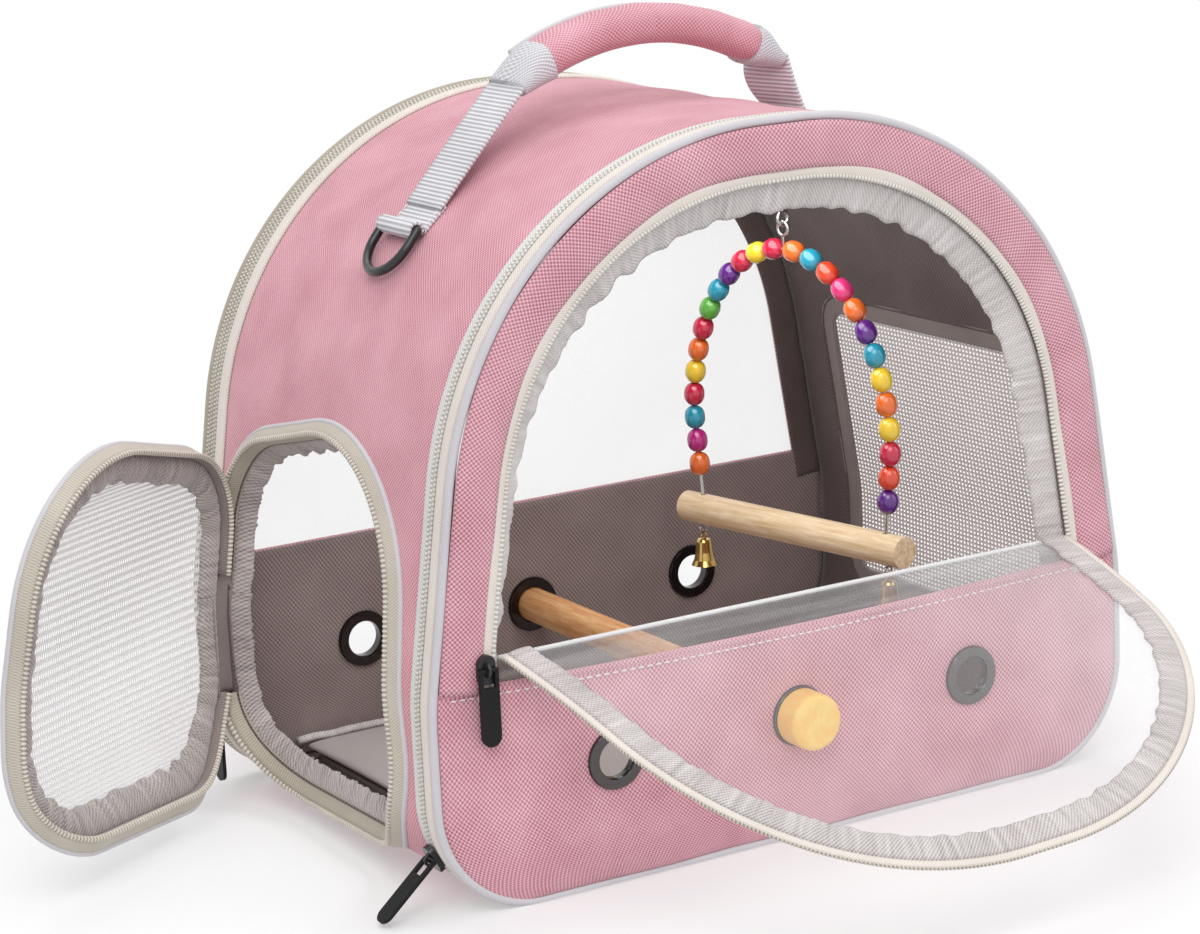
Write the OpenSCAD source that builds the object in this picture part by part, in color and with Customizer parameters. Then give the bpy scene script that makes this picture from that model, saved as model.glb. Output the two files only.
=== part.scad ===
// Soft travel carrier for a small bird: an arched fabric shell with a zipped clear
// window in front, a zipped mesh door at the side, a perch, a beaded swing and a handle.
// +X is the right side, -Y the front, +Z up. The origin is the centre of the base.

/* [Shell] */
// Width of the shell
body_w = 340; // [320:5:370]
// Height of the shell
body_h = 300; // [285:5:325]
// Depth of the shell from the front rim to the rear rim
body_d = 226; // [214:2:250]
// How far the round of the roof stays inside the widest part
shoulder = 20; // [14:2:30]
// Width of the flat part along the top of the roof
roof_flat = 18; // [10:2:26]
// Radius of the side walls
side_r = 100; // [90:2:110]
// Height at which the shell is widest
belly_z = 80; // [74:2:90]
// Radius of the bottom corners
corner_r = 46; // [38:2:50]
// Thickness of the outer fabric
fabric_t = 1.8; // [1.4:0.1:2.2]
// Thickness of the lining
lining_t = 1.4; // [1:0.1:1.8]
// Thickness of the board in the base
board_t = 2; // [1.5:0.5:3]
// Thickness of the loose floor pad
pad_t = 8; // [5:1:12]

/* [Rims] */
// Width of the piping around the front face
piping_w = 3.6; // [3:0.2:4.6]
// Height of the piping above the fabric
piping_proud = 1.6; // [1:0.2:2.4]
// Width of the tape beside the front piping
front_tape_w = 6; // [4:1:9]
// Width of the closed coils of the front rim zip
front_coil_w = 11; // [8:1:13]
// Width of the tape in front of the rear coils
rear_tape_w = 7; // [4:1:9]
// Width of the two closed coils of the rear rim zip
rear_coil_w = 13; // [10:1:14]
// Height of a zip coil above its fabric
coil_proud = 0.6; // [0.4:0.1:1]

/* [Rear window] */
// Distance from the shell's outline to the edge of the rear window
rear_inset = 15; // [11:1:26]

/* [Front window] */
// Height of the lower front and rear panels
panel_h = 97; // [85:1:105]
// Distance from the shell's outline to the edge of the window flap
window_inset = 26; // [22:1:32]
// Width of the zip around the window
window_zip_w = 5.5; // [4:0.5:7]
// Width of the gathered binding inside the window zip
window_binding_w = 12; // [8:1:16]
// Height of the fold in the film above the lower panel
fold_rise = 7; // [5:1:10]
// Radius of the fold in the film
fold_r = 1; // [0.8:0.1:1.4]
// Thickness of the clear film
film_t = 1; // [0.6:0.1:1.4]
// Width of the binding around the flap
flap_binding_w = 9; // [6:1:14]
// Angle at which the flap stands open
flap_open = 112; // [100:2:118]

/* [Side door] */
// Distance of the door's hinge line behind the shell's middle
door_hinge_y = 80; // [74:1:81]
// Width of the side door
door_w = 158; // [148:2:162]
// Height of the door's top edge
door_top = 172; // [166:1:178]
// Height of the door's bottom edge
door_bottom = 9; // [6:1:16]
// Width of the zip coil along the door's edge
door_coil_w = 3; // [2:0.5:4]
// Width of the binding around the door's mesh
door_binding_w = 11; // [8:1:15]
// Width of the zip sewn to the shell around the door
door_frame_w = 7; // [5:1:8]
// Height of the hinge strip's lower end
strip_bottom = 52; // [48:1:60]
// Height of the hinge strip's upper end
strip_top = 100; // [90:1:110]
// Angle at which the side door stands open
door_open = 56; // [30:2:80]

/* [Mesh window] */
// Width of the mesh window in the right wall
mesh_w = 172; // [140:2:176]
// Height of the mesh window's lower edge
mesh_bottom = 38; // [34:1:60]
// Height of the mesh window's upper edge
mesh_top = 184; // [150:1:186]
// Radius of the mesh window's corners
mesh_corner_r = 16; // [8:1:24]
// Width of the binding around the mesh window
mesh_binding_w = 9; // [6:1:12]
// Thickness of the mesh
mesh_t = 0.8; // [0.5:0.1:1.2]

/* [Grommets and perch] */
// Distance between the grommets in a row
grommet_pitch = 89; // [78:1:95]
// Height of the grommets above the floor
grommet_z = 52; // [44:1:60]
// Inner diameter of a grommet
grommet_id = 16; // [14:0.5:18]
// Outer diameter of a grommet
grommet_od = 26; // [24:0.5:30]
// Height of a grommet's face above the fabric
grommet_face = 1.6; // [1.2:0.1:2.2]
// Radial clearance of the perch in its grommets
perch_clearance = 0.1; // [0.05:0.01:0.1]
// Diameter of the perch's end knobs
knob_d = 24; // [20:0.5:28]
// Length of an end knob
knob_l = 13; // [9:0.5:18]
// Diameter of the threaded stud in each end of the perch
stud_d = 6; // [5:0.5:8]
// Depth of the stud in the perch and in the knob
stud_depth = 9; // [7:0.5:10]

/* [Handle] */
// Distance of the handle in front of the shell's middle
handle_front = 8; // [0:1:14]
// Height of the grip's middle above the roof
grip_rise = 36; // [32:1:44]
// Radius of the grip's arch
grip_arch_r = 153; // [140:1:170]
// Half angle of the padded part of the grip
grip_half_angle = 21.5; // [20:0.5:26]
// Angle covered by the webbing sleeve at each end of the grip
sleeve_angle = 5; // [4:0.5:6]
// Thickness of the grip
grip_t = 15; // [12:0.5:17]
// Width of the grip
grip_w = 26; // [22:1:30]
// Width of the webbing
web_w = 25; // [20:1:28]
// Thickness of the webbing
web_t = 1.6; // [1.2:0.1:2]
// Angle on the roof arch where the webbing leaves the shell
web_leave_angle = 122.5; // [120:0.5:126]
// Angle on the roof arch of the ring's bar
ring_angle = 135; // [133:0.5:138]
// Thickness of the wire of the D-rings
ring_wire = 4; // [3:0.25:5]
// Angle by which the D-rings lean towards the roof
ring_lean = 6; // [0:1:7]
// Inner width of the D-rings
ring_inner_w = 25; // [25:1:30]
// Length of the straight sides of the D-rings
ring_leg = 7; // [4:1:10]

/* [Swing] */
// Position of the swing to the right of the middle
swing_x = 65; // [40:1:80]
// Position of the swing in front of the middle
swing_front = 15.5; // [5:0.5:25]
// Angle of the swing to the front-rear direction
swing_turn = 10.8; // [0:0.2:20]
// Drop from the top of the roof to the swing's dowel
swing_drop = 198; // [190:2:204]
// Length of the swing's dowel
swing_l = 136; // [130:1:150]
// Diameter of the swing's dowel
swing_d = 14; // [11:0.5:16]
// Half width of the wire arch
arch_half_w = 61; // [54:1:62]
// Height of the arch's straight legs above the dowel
arch_leg = 45; // [35:1:50]
// Rise of the arch above its legs
arch_rise = 81; // [70:1:84]
// Thickness of the arch's wire
wire_d = 1.6; // [1.2:0.1:2]
// Diameter of a bead
bead_d = 10.2; // [8:0.1:10.6]
// Distance between the middles of the beads
bead_pitch = 10.8; // [10.7:0.1:11.5]
// Diameter of a bell's mouth
bell_d = 12; // [10:0.5:14]
// Height of a bell
bell_h = 12; // [10:0.5:14]
// Thickness of a bell's wall
bell_wall = 0.8; // [0.6:0.1:1]

/* [Zip sliders] */
// Width of a slider
slider_w = 8; // [7:0.5:9]
// Length of a slider
slider_l = 12; // [10:0.5:14]
// Thickness of a slider
slider_t = 2.4; // [2:0.1:3]
// Length of a pull tab
pull_l = 31; // [26:1:34]
// Width of a pull tab
pull_w = 8.5; // [7:0.5:10]
// Thickness of a pull tab
pull_t = 1.6; // [1.2:0.1:1.8]
// Angle down the front corner at which the rim slider is parked
rim_park_angle = 28; // [24:1:30]
// Angle by which a rim pull stands off its slider, tip on the floor
rim_pull_angle = 77; // [76:1:90]

/* [Hidden] */

round_fn = 48;
arc_step = 6;
gap = 0.3;
reach = body_w + body_d;
roof_r = body_w / 2 - shoulder;
swing_z = body_h - swing_drop;

// Planes of the front and rear faces
front_y = -body_d / 2;
face_back = front_y + 2.8;
face_front = face_back - fabric_t;
rear_y = body_d / 2;

// The shell's outline is a chain of round lobes, given as [x, z, radius], anticlockwise
corner_x = body_w / 2 - corner_r;
side_x = body_w / 2 - side_r;
roof_z = body_h - roof_r;
shell_lobes = [[-corner_x, corner_r, corner_r], [corner_x, corner_r, corner_r],
    [side_x, belly_z, side_r], [roof_flat / 2, roof_z, roof_r],
    [-roof_flat / 2, roof_z, roof_r], [-side_x, belly_z, side_r]];

// The door's outline is a chain of lobes too, measured from its hinge line, with its
// free side leaning in and its top sloping down towards the hinge
door_foot_r = 50;
door_crown_r = 62;
door_heel_r = 46;
door_lean = 8;
door_slope = 5;
door_lobes = [[door_foot_r, door_bottom + door_foot_r, door_foot_r],
    [door_w - door_foot_r, door_bottom + door_foot_r, door_foot_r],
    [door_w - door_lean - door_crown_r, door_top - door_crown_r, door_crown_r],
    [door_heel_r, door_top - door_slope - door_heel_r, door_heel_r]];

function tangent_angle(a, b) =
    atan2(b.y - a.y, b.x - a.x) - acos((a.z - b.z) / norm([b.x - a.x, b.y - a.y]));

function chain_points(lobes, inset) = let (n = len(lobes)) [
    for (i = [0 : n - 1])
        let (from = tangent_angle(lobes[(i + n - 1) % n], lobes[i]),
            turn = (tangent_angle(lobes[i], lobes[(i + 1) % n]) - from + 720) % 360,
            steps = max(1, ceil(turn / arc_step)), r = lobes[i].z - inset)
            for (k = [0 : steps])
                let (a = from + turn * k / steps)
                    [lobes[i].x + r * cos(a), lobes[i].y + r * sin(a)]];

// Half width of the shell's outer face at the height z
side_turn = tangent_angle(shell_lobes[2], shell_lobes[3]);
side_end_z = belly_z + side_r * sin(side_turn);
roof_start_z = roof_z + roof_r * sin(side_turn);
function half_width(z) =
    z < corner_r ? corner_x + sqrt(corner_r ^ 2 - (corner_r - z) ^ 2)
    : z < belly_z ? body_w / 2
    : z < side_end_z ? side_x + sqrt(side_r ^ 2 - (z - belly_z) ^ 2)
    : z < roof_start_z ? side_x + side_r * cos(side_turn) - (z - side_end_z) * tan(side_turn)
    : roof_flat / 2 + sqrt(roof_r ^ 2 - (z - roof_z) ^ 2);

// The door turns about a line that leans with the wall
strip_out = 0.4;
hinge_low = [-half_width(strip_bottom) - strip_out, door_hinge_y, strip_bottom];
hinge_high = [-half_width(strip_top) - strip_out, door_hinge_y, strip_top];
hinge_axis = (hinge_high - hinge_low) / norm(hinge_high - hinge_low);

// The flap turns about the fold in the film
fold_y = face_front - 0.8;
fold_z = panel_h + fold_rise;

module outline(inset = 0) {
    polygon(chain_points(shell_lobes, inset));
}

module door_outline(inset = 0) {
    mirror([1, 0]) translate([-door_hinge_y, 0]) polygon(chain_points(door_lobes, inset));
}

// Places a flat shape, drawn in X and Z, between two planes across Y
module along_y(y0, y1) {
    translate([0, y1, 0]) rotate([90, 0, 0]) linear_extrude(y1 - y0) children();
}

// Places a flat shape, drawn in Y and Z, between two planes across X
module along_x(x0, x1) {
    translate([x0, 0, 0]) rotate([90, 0, 90]) linear_extrude(x1 - x0) children();
}

// A band that follows the shell's outline
module rim(y0, y1, outer, inner) {
    along_y(y0, y1) difference() {
        outline(outer);
        outline(inner);
    }
}

module left_prism() {
    along_x(-reach, -side_x) children();
}

module right_prism() {
    along_x(side_x, reach) children();
}

module above(z) {
    translate([-reach, z]) square([2 * reach, reach]);
}

module below(z) {
    translate([-reach, z - reach]) square([2 * reach, reach]);
}

module grommet_holes(r) {
    for (i = [-1 : 1])
        translate([i * grommet_pitch, 0, grommet_z]) rotate([90, 0, 0])
            cylinder(r = r, h = reach, center = true, $fn = round_fn);
}

module open_door() {
    translate(hinge_low) rotate(a = -door_open, v = hinge_axis) translate(-hinge_low) children();
}

module open_flap() {
    translate([0, fold_y, fold_z]) rotate([flap_open, 0, 0]) translate([0, -fold_y, -fold_z])
        children();
}

/* Fabric shell */

// Edges of the pink band between the two rims
band_front = front_y + piping_w + front_tape_w + front_coil_w;
band_rear = rear_y - 2 - rear_coil_w - rear_tape_w;
wall_in = fabric_t + lining_t;
frame_edge = -gap - 0.2 - door_frame_w;

module mesh_outline(inset = 0) {
    offset(r = mesh_corner_r - inset, $fn = round_fn) offset(delta = -mesh_corner_r)
        translate([-mesh_w / 2, mesh_bottom]) square([mesh_w, mesh_top - mesh_bottom]);
}

module band_fabric() {
    color([0.86, 0.60, 0.66]) difference() {
        rim(band_front, band_rear, 0, fabric_t);
        left_prism() door_outline(frame_edge);
        right_prism() mesh_outline();
    }
}

module band_lining() {
    color([0.42, 0.38, 0.38]) difference() {
        rim(face_back, -face_back, fabric_t, wall_in);
        left_prism() door_outline(-gap - 0.2);
        right_prism() mesh_outline();
    }
}

board_w = 2 * corner_x - 8;
board_d = body_d - 14;

module rounded_slab(w, d, z0, z1, r) {
    translate([0, 0, z0]) linear_extrude(z1 - z0)
        offset(r = r, $fn = round_fn) square([w - 2 * r, d - 2 * r], center = true);
}

module base_board() {
    color([0.55, 0.52, 0.50]) rounded_slab(board_w, board_d, wall_in, wall_in + board_t, 12);
}

pad_z = wall_in + board_t + gap;
pad_edge = 1.5;

module floor_pad() {
    color([0.80, 0.79, 0.79]) {
        rounded_slab(board_w - 2 * pad_edge, board_d - 2 * pad_edge, pad_z, pad_z + pad_edge, 14);
        rounded_slab(board_w, board_d, pad_z + pad_edge, pad_z + pad_t - pad_edge, 14);
        rounded_slab(board_w - 2 * pad_edge, board_d - 2 * pad_edge, pad_z + pad_t - pad_edge,
            pad_z + pad_t, 14);
    }
}

/* Front face */

face_edge = 2.4;

module front_arch() {
    color([0.86, 0.60, 0.66]) along_y(face_front, face_back) difference() {
        outline(face_edge);
        below(panel_h);
        outline(window_inset - gap - 0.2 - window_zip_w);
    }
}

module front_panel() {
    color([0.87, 0.62, 0.68]) difference() {
        along_y(face_front, face_back) intersection() {
            outline(face_edge);
            below(panel_h);
        }
        grommet_holes(grommet_barrel_r + 0.05);
    }
}

module front_piping() {
    step = piping_w / 4;
    color([0.78, 0.77, 0.80]) {
        rim(front_y, front_y + step, -piping_proud / 2, face_edge - 0.8);
        rim(front_y + step, front_y + 3 * step, -piping_proud, face_edge);
        rim(front_y + 3 * step, front_y + 4 * step, -piping_proud / 2, fabric_t);
    }
}

module front_rim_zip() {
    tape_start = front_y + piping_w;
    coil_start = tape_start + front_tape_w;
    color([0.84, 0.81, 0.76]) {
        rim(tape_start, coil_start, 0, fabric_t);
        rim(coil_start, coil_start + front_coil_w, -coil_proud, fabric_t);
    }
}

module window_zip() {
    color([0.80, 0.78, 0.74]) along_y(face_front - coil_proud, face_back) difference() {
        outline(window_inset - gap - 0.2 - window_zip_w);
        outline(window_inset - gap - 0.2);
        below(panel_h);
    }
}

module window_binding() {
    outer = window_inset - window_zip_w - 2;
    color([0.80, 0.79, 0.79]) {
        along_y(face_back + gap, face_back + gap + 1) difference() {
            outline(outer);
            outline(window_inset + window_binding_w);
            below(panel_h);
        }
        along_y(face_back, face_back + gap) difference() {
            outline(outer);
            outline(window_inset - gap - 1);
            below(panel_h);
        }
    }
}

module film_fold() {
    fold_half = half_width(fold_z) - window_inset - 1;
    color([0.85, 0.87, 0.90, 0.5]) {
        translate([-fold_half, face_front, panel_h])
            cube([2 * fold_half, fabric_t, fold_rise - 0.2]);
        translate([-fold_half, fold_y, fold_z]) rotate([0, 90, 0])
            cylinder(r = fold_r, h = 2 * fold_half, $fn = round_fn);
    }
}

flap_zip_w = 5;
flap_low = fold_z + fold_r + gap;

module flap_ring(front, outer, inner) {
    along_y(front, face_back) difference() {
        outline(window_inset + outer);
        outline(window_inset + inner);
        below(flap_low);
    }
}

module flap_zip() {
    color([0.80, 0.78, 0.74]) open_flap() flap_ring(face_front - coil_proud, 0, flap_zip_w);
}

module flap_binding() {
    color([0.80, 0.79, 0.80]) open_flap()
        flap_ring(face_front, flap_zip_w, flap_zip_w + flap_binding_w);
}

module flap_film() {
    middle = (face_front + face_back) / 2;
    color([0.88, 0.90, 0.92, 0.4]) open_flap()
        along_y(middle - film_t / 2, middle + film_t / 2) difference() {
            outline(window_inset + flap_zip_w + flap_binding_w);
            below(flap_low);
        }
}

/* Rear face */

module rear_arch() {
    color([0.86, 0.60, 0.66]) along_y(-face_back, -face_front) difference() {
        outline(face_edge);
        below(panel_h);
        outline(rear_inset);
    }
}

module rear_window() {
    color([0.90, 0.92, 0.94, 0.4]) along_y(-face_back, -face_back + film_t) difference() {
        outline(rear_inset);
        below(panel_h);
    }
}

module rear_panel() {
    color([0.86, 0.60, 0.66]) difference() {
        along_y(-face_back, -face_front) intersection() {
            outline(face_edge);
            below(panel_h);
        }
        grommet_holes(grommet_barrel_r + 0.05);
    }
}

module rear_lining() {
    color([0.40, 0.36, 0.36]) difference() {
        along_y(-face_back - lining_t, -face_back) difference() {
            outline(wall_in);
            intersection() {
                outline(rear_inset + 2);
                above(panel_h);
            }
        }
        grommet_holes(grommet_barrel_r + 0.05);
    }
}

module rear_rim_zip() {
    coil_start = band_rear + rear_tape_w;
    row = rear_coil_w / 2 - 0.5;
    color([0.80, 0.77, 0.70]) {
        rim(band_rear, coil_start, 0, fabric_t);
        rim(coil_start, coil_start + row, -coil_proud, fabric_t);
        rim(coil_start + row, coil_start + row + 1, 0, fabric_t);
        rim(coil_start + row + 1, -face_back, -coil_proud, fabric_t);
        rim(-face_back, rear_y - 1, -coil_proud, face_edge);
    }
}

/* Side door */

module hinge_side() {
    translate([door_hinge_y - 0.6, strip_bottom - 2])
        square([reach, strip_top - strip_bottom + 4]);
}

module door_frame_zip() {
    color([0.80, 0.78, 0.74]) intersection() {
        rim(-reach, reach, -coil_proud, fabric_t);
        left_prism() difference() {
            door_outline(frame_edge);
            door_outline(-gap - 0.2);
            hinge_side();
        }
    }
}

module hinge_strip() {
    color([0.62, 0.61, 0.63]) {
        intersection() {
            rim(-reach, reach, 0, fabric_t);
            left_prism() intersection() {
                difference() {
                    door_outline(frame_edge);
                    door_outline(-gap - 0.2);
                }
                hinge_side();
            }
        }
        translate(hinge_low) rotate([0, asin(hinge_axis.x), 0])
            cylinder(r = fold_r, h = norm(hinge_high - hinge_low), $fn = round_fn);
    }
}

module door_layer(outer, inner, face, back) {
    open_door() intersection() {
        rim(-reach, reach, face, back);
        left_prism() difference() {
            door_outline(outer);
            door_outline(inner);
            translate([door_hinge_y - fold_r - gap, 0]) square([reach, reach]);
        }
    }
}

module door_zip() {
    color([0.80, 0.78, 0.74]) door_layer(0, door_coil_w, -coil_proud / 2, fabric_t);
}

module door_binding() {
    color([0.66, 0.64, 0.67]) door_layer(door_coil_w, door_coil_w + door_binding_w, 0, fabric_t);
}

module door_mesh() {
    middle = fabric_t / 2;
    color([0.92, 0.91, 0.93]) open_door() intersection() {
        rim(-reach, reach, middle - mesh_t / 2, middle + mesh_t / 2);
        left_prism() door_outline(door_coil_w + door_binding_w);
    }
}

/* Mesh window in the right wall */

module mesh_binding() {
    color([0.42, 0.38, 0.38]) intersection() {
        rim(-reach, reach, 0, wall_in);
        right_prism() difference() {
            mesh_outline();
            mesh_outline(mesh_binding_w);
        }
    }
}

module mesh_window() {
    color([0.92, 0.91, 0.93]) intersection() {
        rim(-reach, reach, fabric_t - mesh_t, fabric_t);
        right_prism() mesh_outline(mesh_binding_w);
    }
}

/* Grommets and perch */

grommet_barrel_r = grommet_id / 2 + 1.5;

// A grommet between two faces, seen as a turned profile about its own axis
module grommet(outer_face, inner_face) {
    length = inner_face - outer_face;
    rotate_extrude($fn = round_fn) translate([grommet_id / 2, 0]) {
        square([grommet_barrel_r - grommet_id / 2, length]);
        for (end = [[0, -1], [length, 1]])
            translate([0, end[0]]) scale([1, end[1]]) intersection() {
                translate([(grommet_od - grommet_id) / 4, 0])
                    circle(d = (grommet_od - grommet_id) / 2, $fn = 32);
                square([grommet_od, grommet_face]);
            }
    }
}

module grommet_row(low_y, high_y) {
    for (i = [-1 : 1])
        translate([i * grommet_pitch, high_y, grommet_z]) rotate([90, 0, 0])
            grommet(0, high_y - low_y);
}

module front_grommets() {
    color([0.20, 0.19, 0.20]) grommet_row(face_front, face_back);
}

module rear_grommets() {
    color([0.20, 0.19, 0.20]) grommet_row(-face_back - lining_t, -face_front);
}

perch_r = grommet_id / 2 - perch_clearance;
perch_end = -face_front + grommet_face;

module perch_axis(y) {
    translate([0, y, grommet_z]) rotate([90, 0, 0]) children();
}

module perch_dowel() {
    color([0.90, 0.76, 0.55]) difference() {
        perch_axis(perch_end) cylinder(r = perch_r, h = 2 * perch_end, $fn = round_fn);
        for (y = [perch_end, -perch_end])
            perch_axis(y) cylinder(d = stud_d, h = 2 * stud_depth, center = true, $fn = round_fn);
    }
}

module perch_studs() {
    color([0.70, 0.70, 0.72]) for (y = [perch_end, -perch_end])
        perch_axis(y) cylinder(d = stud_d, h = 2 * stud_depth, center = true, $fn = round_fn);
}

// A turned knob with its flat face at the origin and its body along +Z
module knob() {
    edge = 3;
    difference() {
        rotate_extrude($fn = round_fn) {
            square([knob_d / 2 - edge, knob_l]);
            square([knob_d / 2, knob_l - edge]);
            translate([knob_d / 2 - edge, knob_l - edge]) circle(r = edge, $fn = 32);
        }
        translate([0, 0, -1]) cylinder(d = stud_d + 0.1, h = stud_depth + 1.4, $fn = round_fn);
    }
}

module front_knob() {
    color([0.90, 0.76, 0.55]) perch_axis(-perch_end - gap) knob();
}

module rear_knob() {
    color([0.90, 0.76, 0.55]) perch_axis(perch_end + gap) mirror([0, 0, 1]) knob();
}

/* Handle, webbing and rings */

grip_centre_z = body_h + grip_rise - grip_arch_r;

// A piece of the grip's arch between two angles from its middle
module grip_arc(from, to) {
    translate([0, -handle_front, grip_centre_z]) rotate([90, 0, 0]) rotate([0, 0, 90 + from])
        rotate_extrude(angle = to - from, $fn = 96) translate([grip_arch_r, 0])
            for (s = [-1, 1]) {
                translate([0, s * (grip_w - grip_t) / 2]) circle(d = grip_t, $fn = 32);
                square([grip_t, grip_w - grip_t], center = true);
            }
}

module handle_grip() {
    color([0.86, 0.60, 0.66]) grip_arc(-grip_half_angle, grip_half_angle);
}

module handle_sleeves() {
    color([0.76, 0.75, 0.77]) {
        grip_arc(grip_half_angle, grip_half_angle + sleeve_angle);
        grip_arc(-grip_half_angle - sleeve_angle, -grip_half_angle);
    }
}

// Points where the webbing leaves the sleeve and meets the shell
sleeve_end_angle = 90 + grip_half_angle + sleeve_angle;
sleeve_point = [grip_arch_r * cos(sleeve_end_angle),
    grip_centre_z + grip_arch_r * sin(sleeve_end_angle)];
strap_seat = 0.15;
leave_r = roof_r + strap_seat;
leave_point = [-roof_flat / 2 + leave_r * cos(web_leave_angle),
    roof_z + leave_r * sin(web_leave_angle)];

module web() {
    leave_out = [cos(web_leave_angle), sin(web_leave_angle)] * web_t;
    sleeve_in = [cos(sleeve_end_angle), sin(sleeve_end_angle)] * web_t;
    along_y(-handle_front - web_w / 2, -handle_front + web_w / 2)
        polygon([sleeve_point, sleeve_point - sleeve_in, leave_point, leave_point + leave_out]);
}

module left_web() {
    color([0.76, 0.75, 0.77]) web();
}

module right_web() {
    color([0.76, 0.75, 0.77]) mirror([1, 0, 0]) web();
}

// The strap sewn down the roof, with the loop that holds the ring
loop_r = ring_wire / 2 + gap + web_t;
ring_r = roof_r + strap_seat + loop_r + web_t / 4;
ring_point = [-roof_flat / 2 + ring_r * cos(ring_angle), -handle_front,
    roof_z + ring_r * sin(ring_angle)];

function roof_at(r, a) = [-roof_flat / 2 + r * cos(a), roof_z + r * sin(a)];

module strap() {
    span = ring_angle + 1 - web_leave_angle;
    inner = roof_r + strap_seat;
    steps = 8;
    along_y(-handle_front - web_w / 2, -handle_front + web_w / 2) difference() {
        union() {
            polygon(concat(
                [for (i = [0 : steps]) roof_at(inner, web_leave_angle + span * i / steps)],
                [for (i = [steps : -1 : 0])
                    roof_at(inner + web_t, web_leave_angle + span * i / steps)]));
            translate([ring_point.x, ring_point.z]) circle(r = loop_r, $fn = round_fn);
        }
        translate([ring_point.x, ring_point.z]) circle(r = loop_r - web_t, $fn = round_fn);
    }
}

module left_strap() {
    color([0.76, 0.75, 0.77]) strap();
}

module right_strap() {
    color([0.76, 0.75, 0.77]) mirror([1, 0, 0]) strap();
}

// A D-ring about its own bar, lying down the slope of the roof
module d_ring() {
    bend_r = (ring_inner_w + ring_wire) / 2;
    translate(ring_point) rotate([0, 270 - ring_angle - ring_lean, 0]) {
        rotate([90, 0, 0])
            cylinder(d = ring_wire, h = 2 * bend_r, center = true, $fn = round_fn);
        for (s = [-1, 1]) translate([0, s * bend_r, 0]) {
            sphere(d = ring_wire, $fn = round_fn);
            rotate([0, 90, 0]) cylinder(d = ring_wire, h = ring_leg, $fn = round_fn);
        }
        translate([ring_leg, 0, 0]) rotate([0, 0, -90])
            rotate_extrude(angle = 180, $fn = 64) translate([bend_r, 0])
                circle(d = ring_wire, $fn = 32);
    }
}

module left_d_ring() {
    color([0.10, 0.10, 0.11]) d_ring();
}

module right_d_ring() {
    color([0.10, 0.10, 0.11]) mirror([1, 0, 0]) d_ring();
}

/* Swing */

ring_gap = 0.1;
roof_ring_r = 3.5;
eye_r = 3;
eye_wire = wire_d * 0.9;
roof_pivot_z = body_h - 26.5;
arch_top = swing_z + arch_leg + arch_rise;
arch_pivot_z = arch_top + 10.5;
stem_gap = 2.4;

module at_swing() {
    translate([swing_x, -swing_front, 0]) rotate([0, 0, swing_turn - 90]) children();
}

// A wire ring standing upright, facing across the swing or, when turned, along it
module wire_ring(z, r, wire, turn = 0) {
    translate([0, 0, z]) rotate([90, 0, turn])
        rotate_extrude($fn = round_fn) translate([r, 0]) circle(d = wire, $fn = 24);
}

module swing_ring() {
    color([0.62, 0.60, 0.60]) {
        at_swing() wire_ring(roof_pivot_z + roof_ring_r, roof_ring_r, wire_d);
        intersection() {
            at_swing() translate([-4, -0.7, roof_pivot_z + 2 * roof_ring_r - 0.4])
                cube([8, 1.4, 40]);
            along_y(-reach, reach) outline(wall_in);
        }
    }
}

module swing_hook() {
    top_eye = roof_pivot_z + (wire_d + eye_wire) / 2 + ring_gap - eye_r;
    low_eye = arch_pivot_z + eye_r;
    color([0.74, 0.73, 0.72]) at_swing() {
        wire_ring(top_eye, eye_r, eye_wire, 90);
        wire_ring(low_eye, eye_r, eye_wire, 90);
        translate([0, 0, low_eye + eye_r])
            cylinder(d = eye_wire, h = top_eye - low_eye - 2 * eye_r, $fn = 24);
    }
}

// Points of the arch from the left foot to the right foot, in the swing's own plane
foot_x = arch_half_w - 4;
foot_z = swing_z + swing_d / 2 - 4;
leg_steps = 4;
arch_steps = 36;
arch_points = concat(
    [for (i = [0 : leg_steps - 1]) let (t = i / leg_steps)
        [-foot_x - (arch_half_w - foot_x) * t, foot_z + (swing_z + arch_leg - foot_z) * t]],
    [for (i = [0 : arch_steps]) let (a = 180 * i / arch_steps)
        [-arch_half_w * cos(a), swing_z + arch_leg + arch_rise * sin(a)]],
    [for (i = [1 : leg_steps]) let (t = i / leg_steps)
        [arch_half_w + (foot_x - arch_half_w) * t,
            swing_z + arch_leg + (foot_z - swing_z - arch_leg) * t]]);

// A round wire swept along points that lie in the plane of X and Z
module wire_sweep(points, d, sides = 8) {
    n = len(points);
    rings = [for (i = [0 : n - 1])
        let (t = points[min(i + 1, n - 1)] - points[max(i - 1, 0)], u = t / norm(t))
            for (k = [0 : sides - 1])
                let (a = 360 * k / sides)
                    [points[i].x - u.y * cos(a) * d / 2, sin(a) * d / 2,
                        points[i].y + u.x * cos(a) * d / 2]];
    walls = [for (i = [0 : n - 2]) for (k = [0 : sides - 1])
        let (next = (k + 1) % sides)
            [i * sides + k, i * sides + next, (i + 1) * sides + next, (i + 1) * sides + k]];
    ends = [[for (k = [sides - 1 : -1 : 0]) k], [for (k = [0 : sides - 1]) (n - 1) * sides + k]];
    polyhedron(rings, concat(walls, ends));
}

module swing_wire() {
    stem_low = arch_top + wire_d * 0.3;
    eye_top = arch_pivot_z + eye_wire + ring_gap;
    color([0.74, 0.73, 0.72]) at_swing() {
        wire_sweep(arch_points, wire_d);
        wire_ring(eye_top - eye_r, eye_r, eye_wire);
        translate([0, 0, stem_low])
            cylinder(d = eye_wire, h = eye_top - 2 * eye_r - stem_low, $fn = 24);
    }
}

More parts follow.
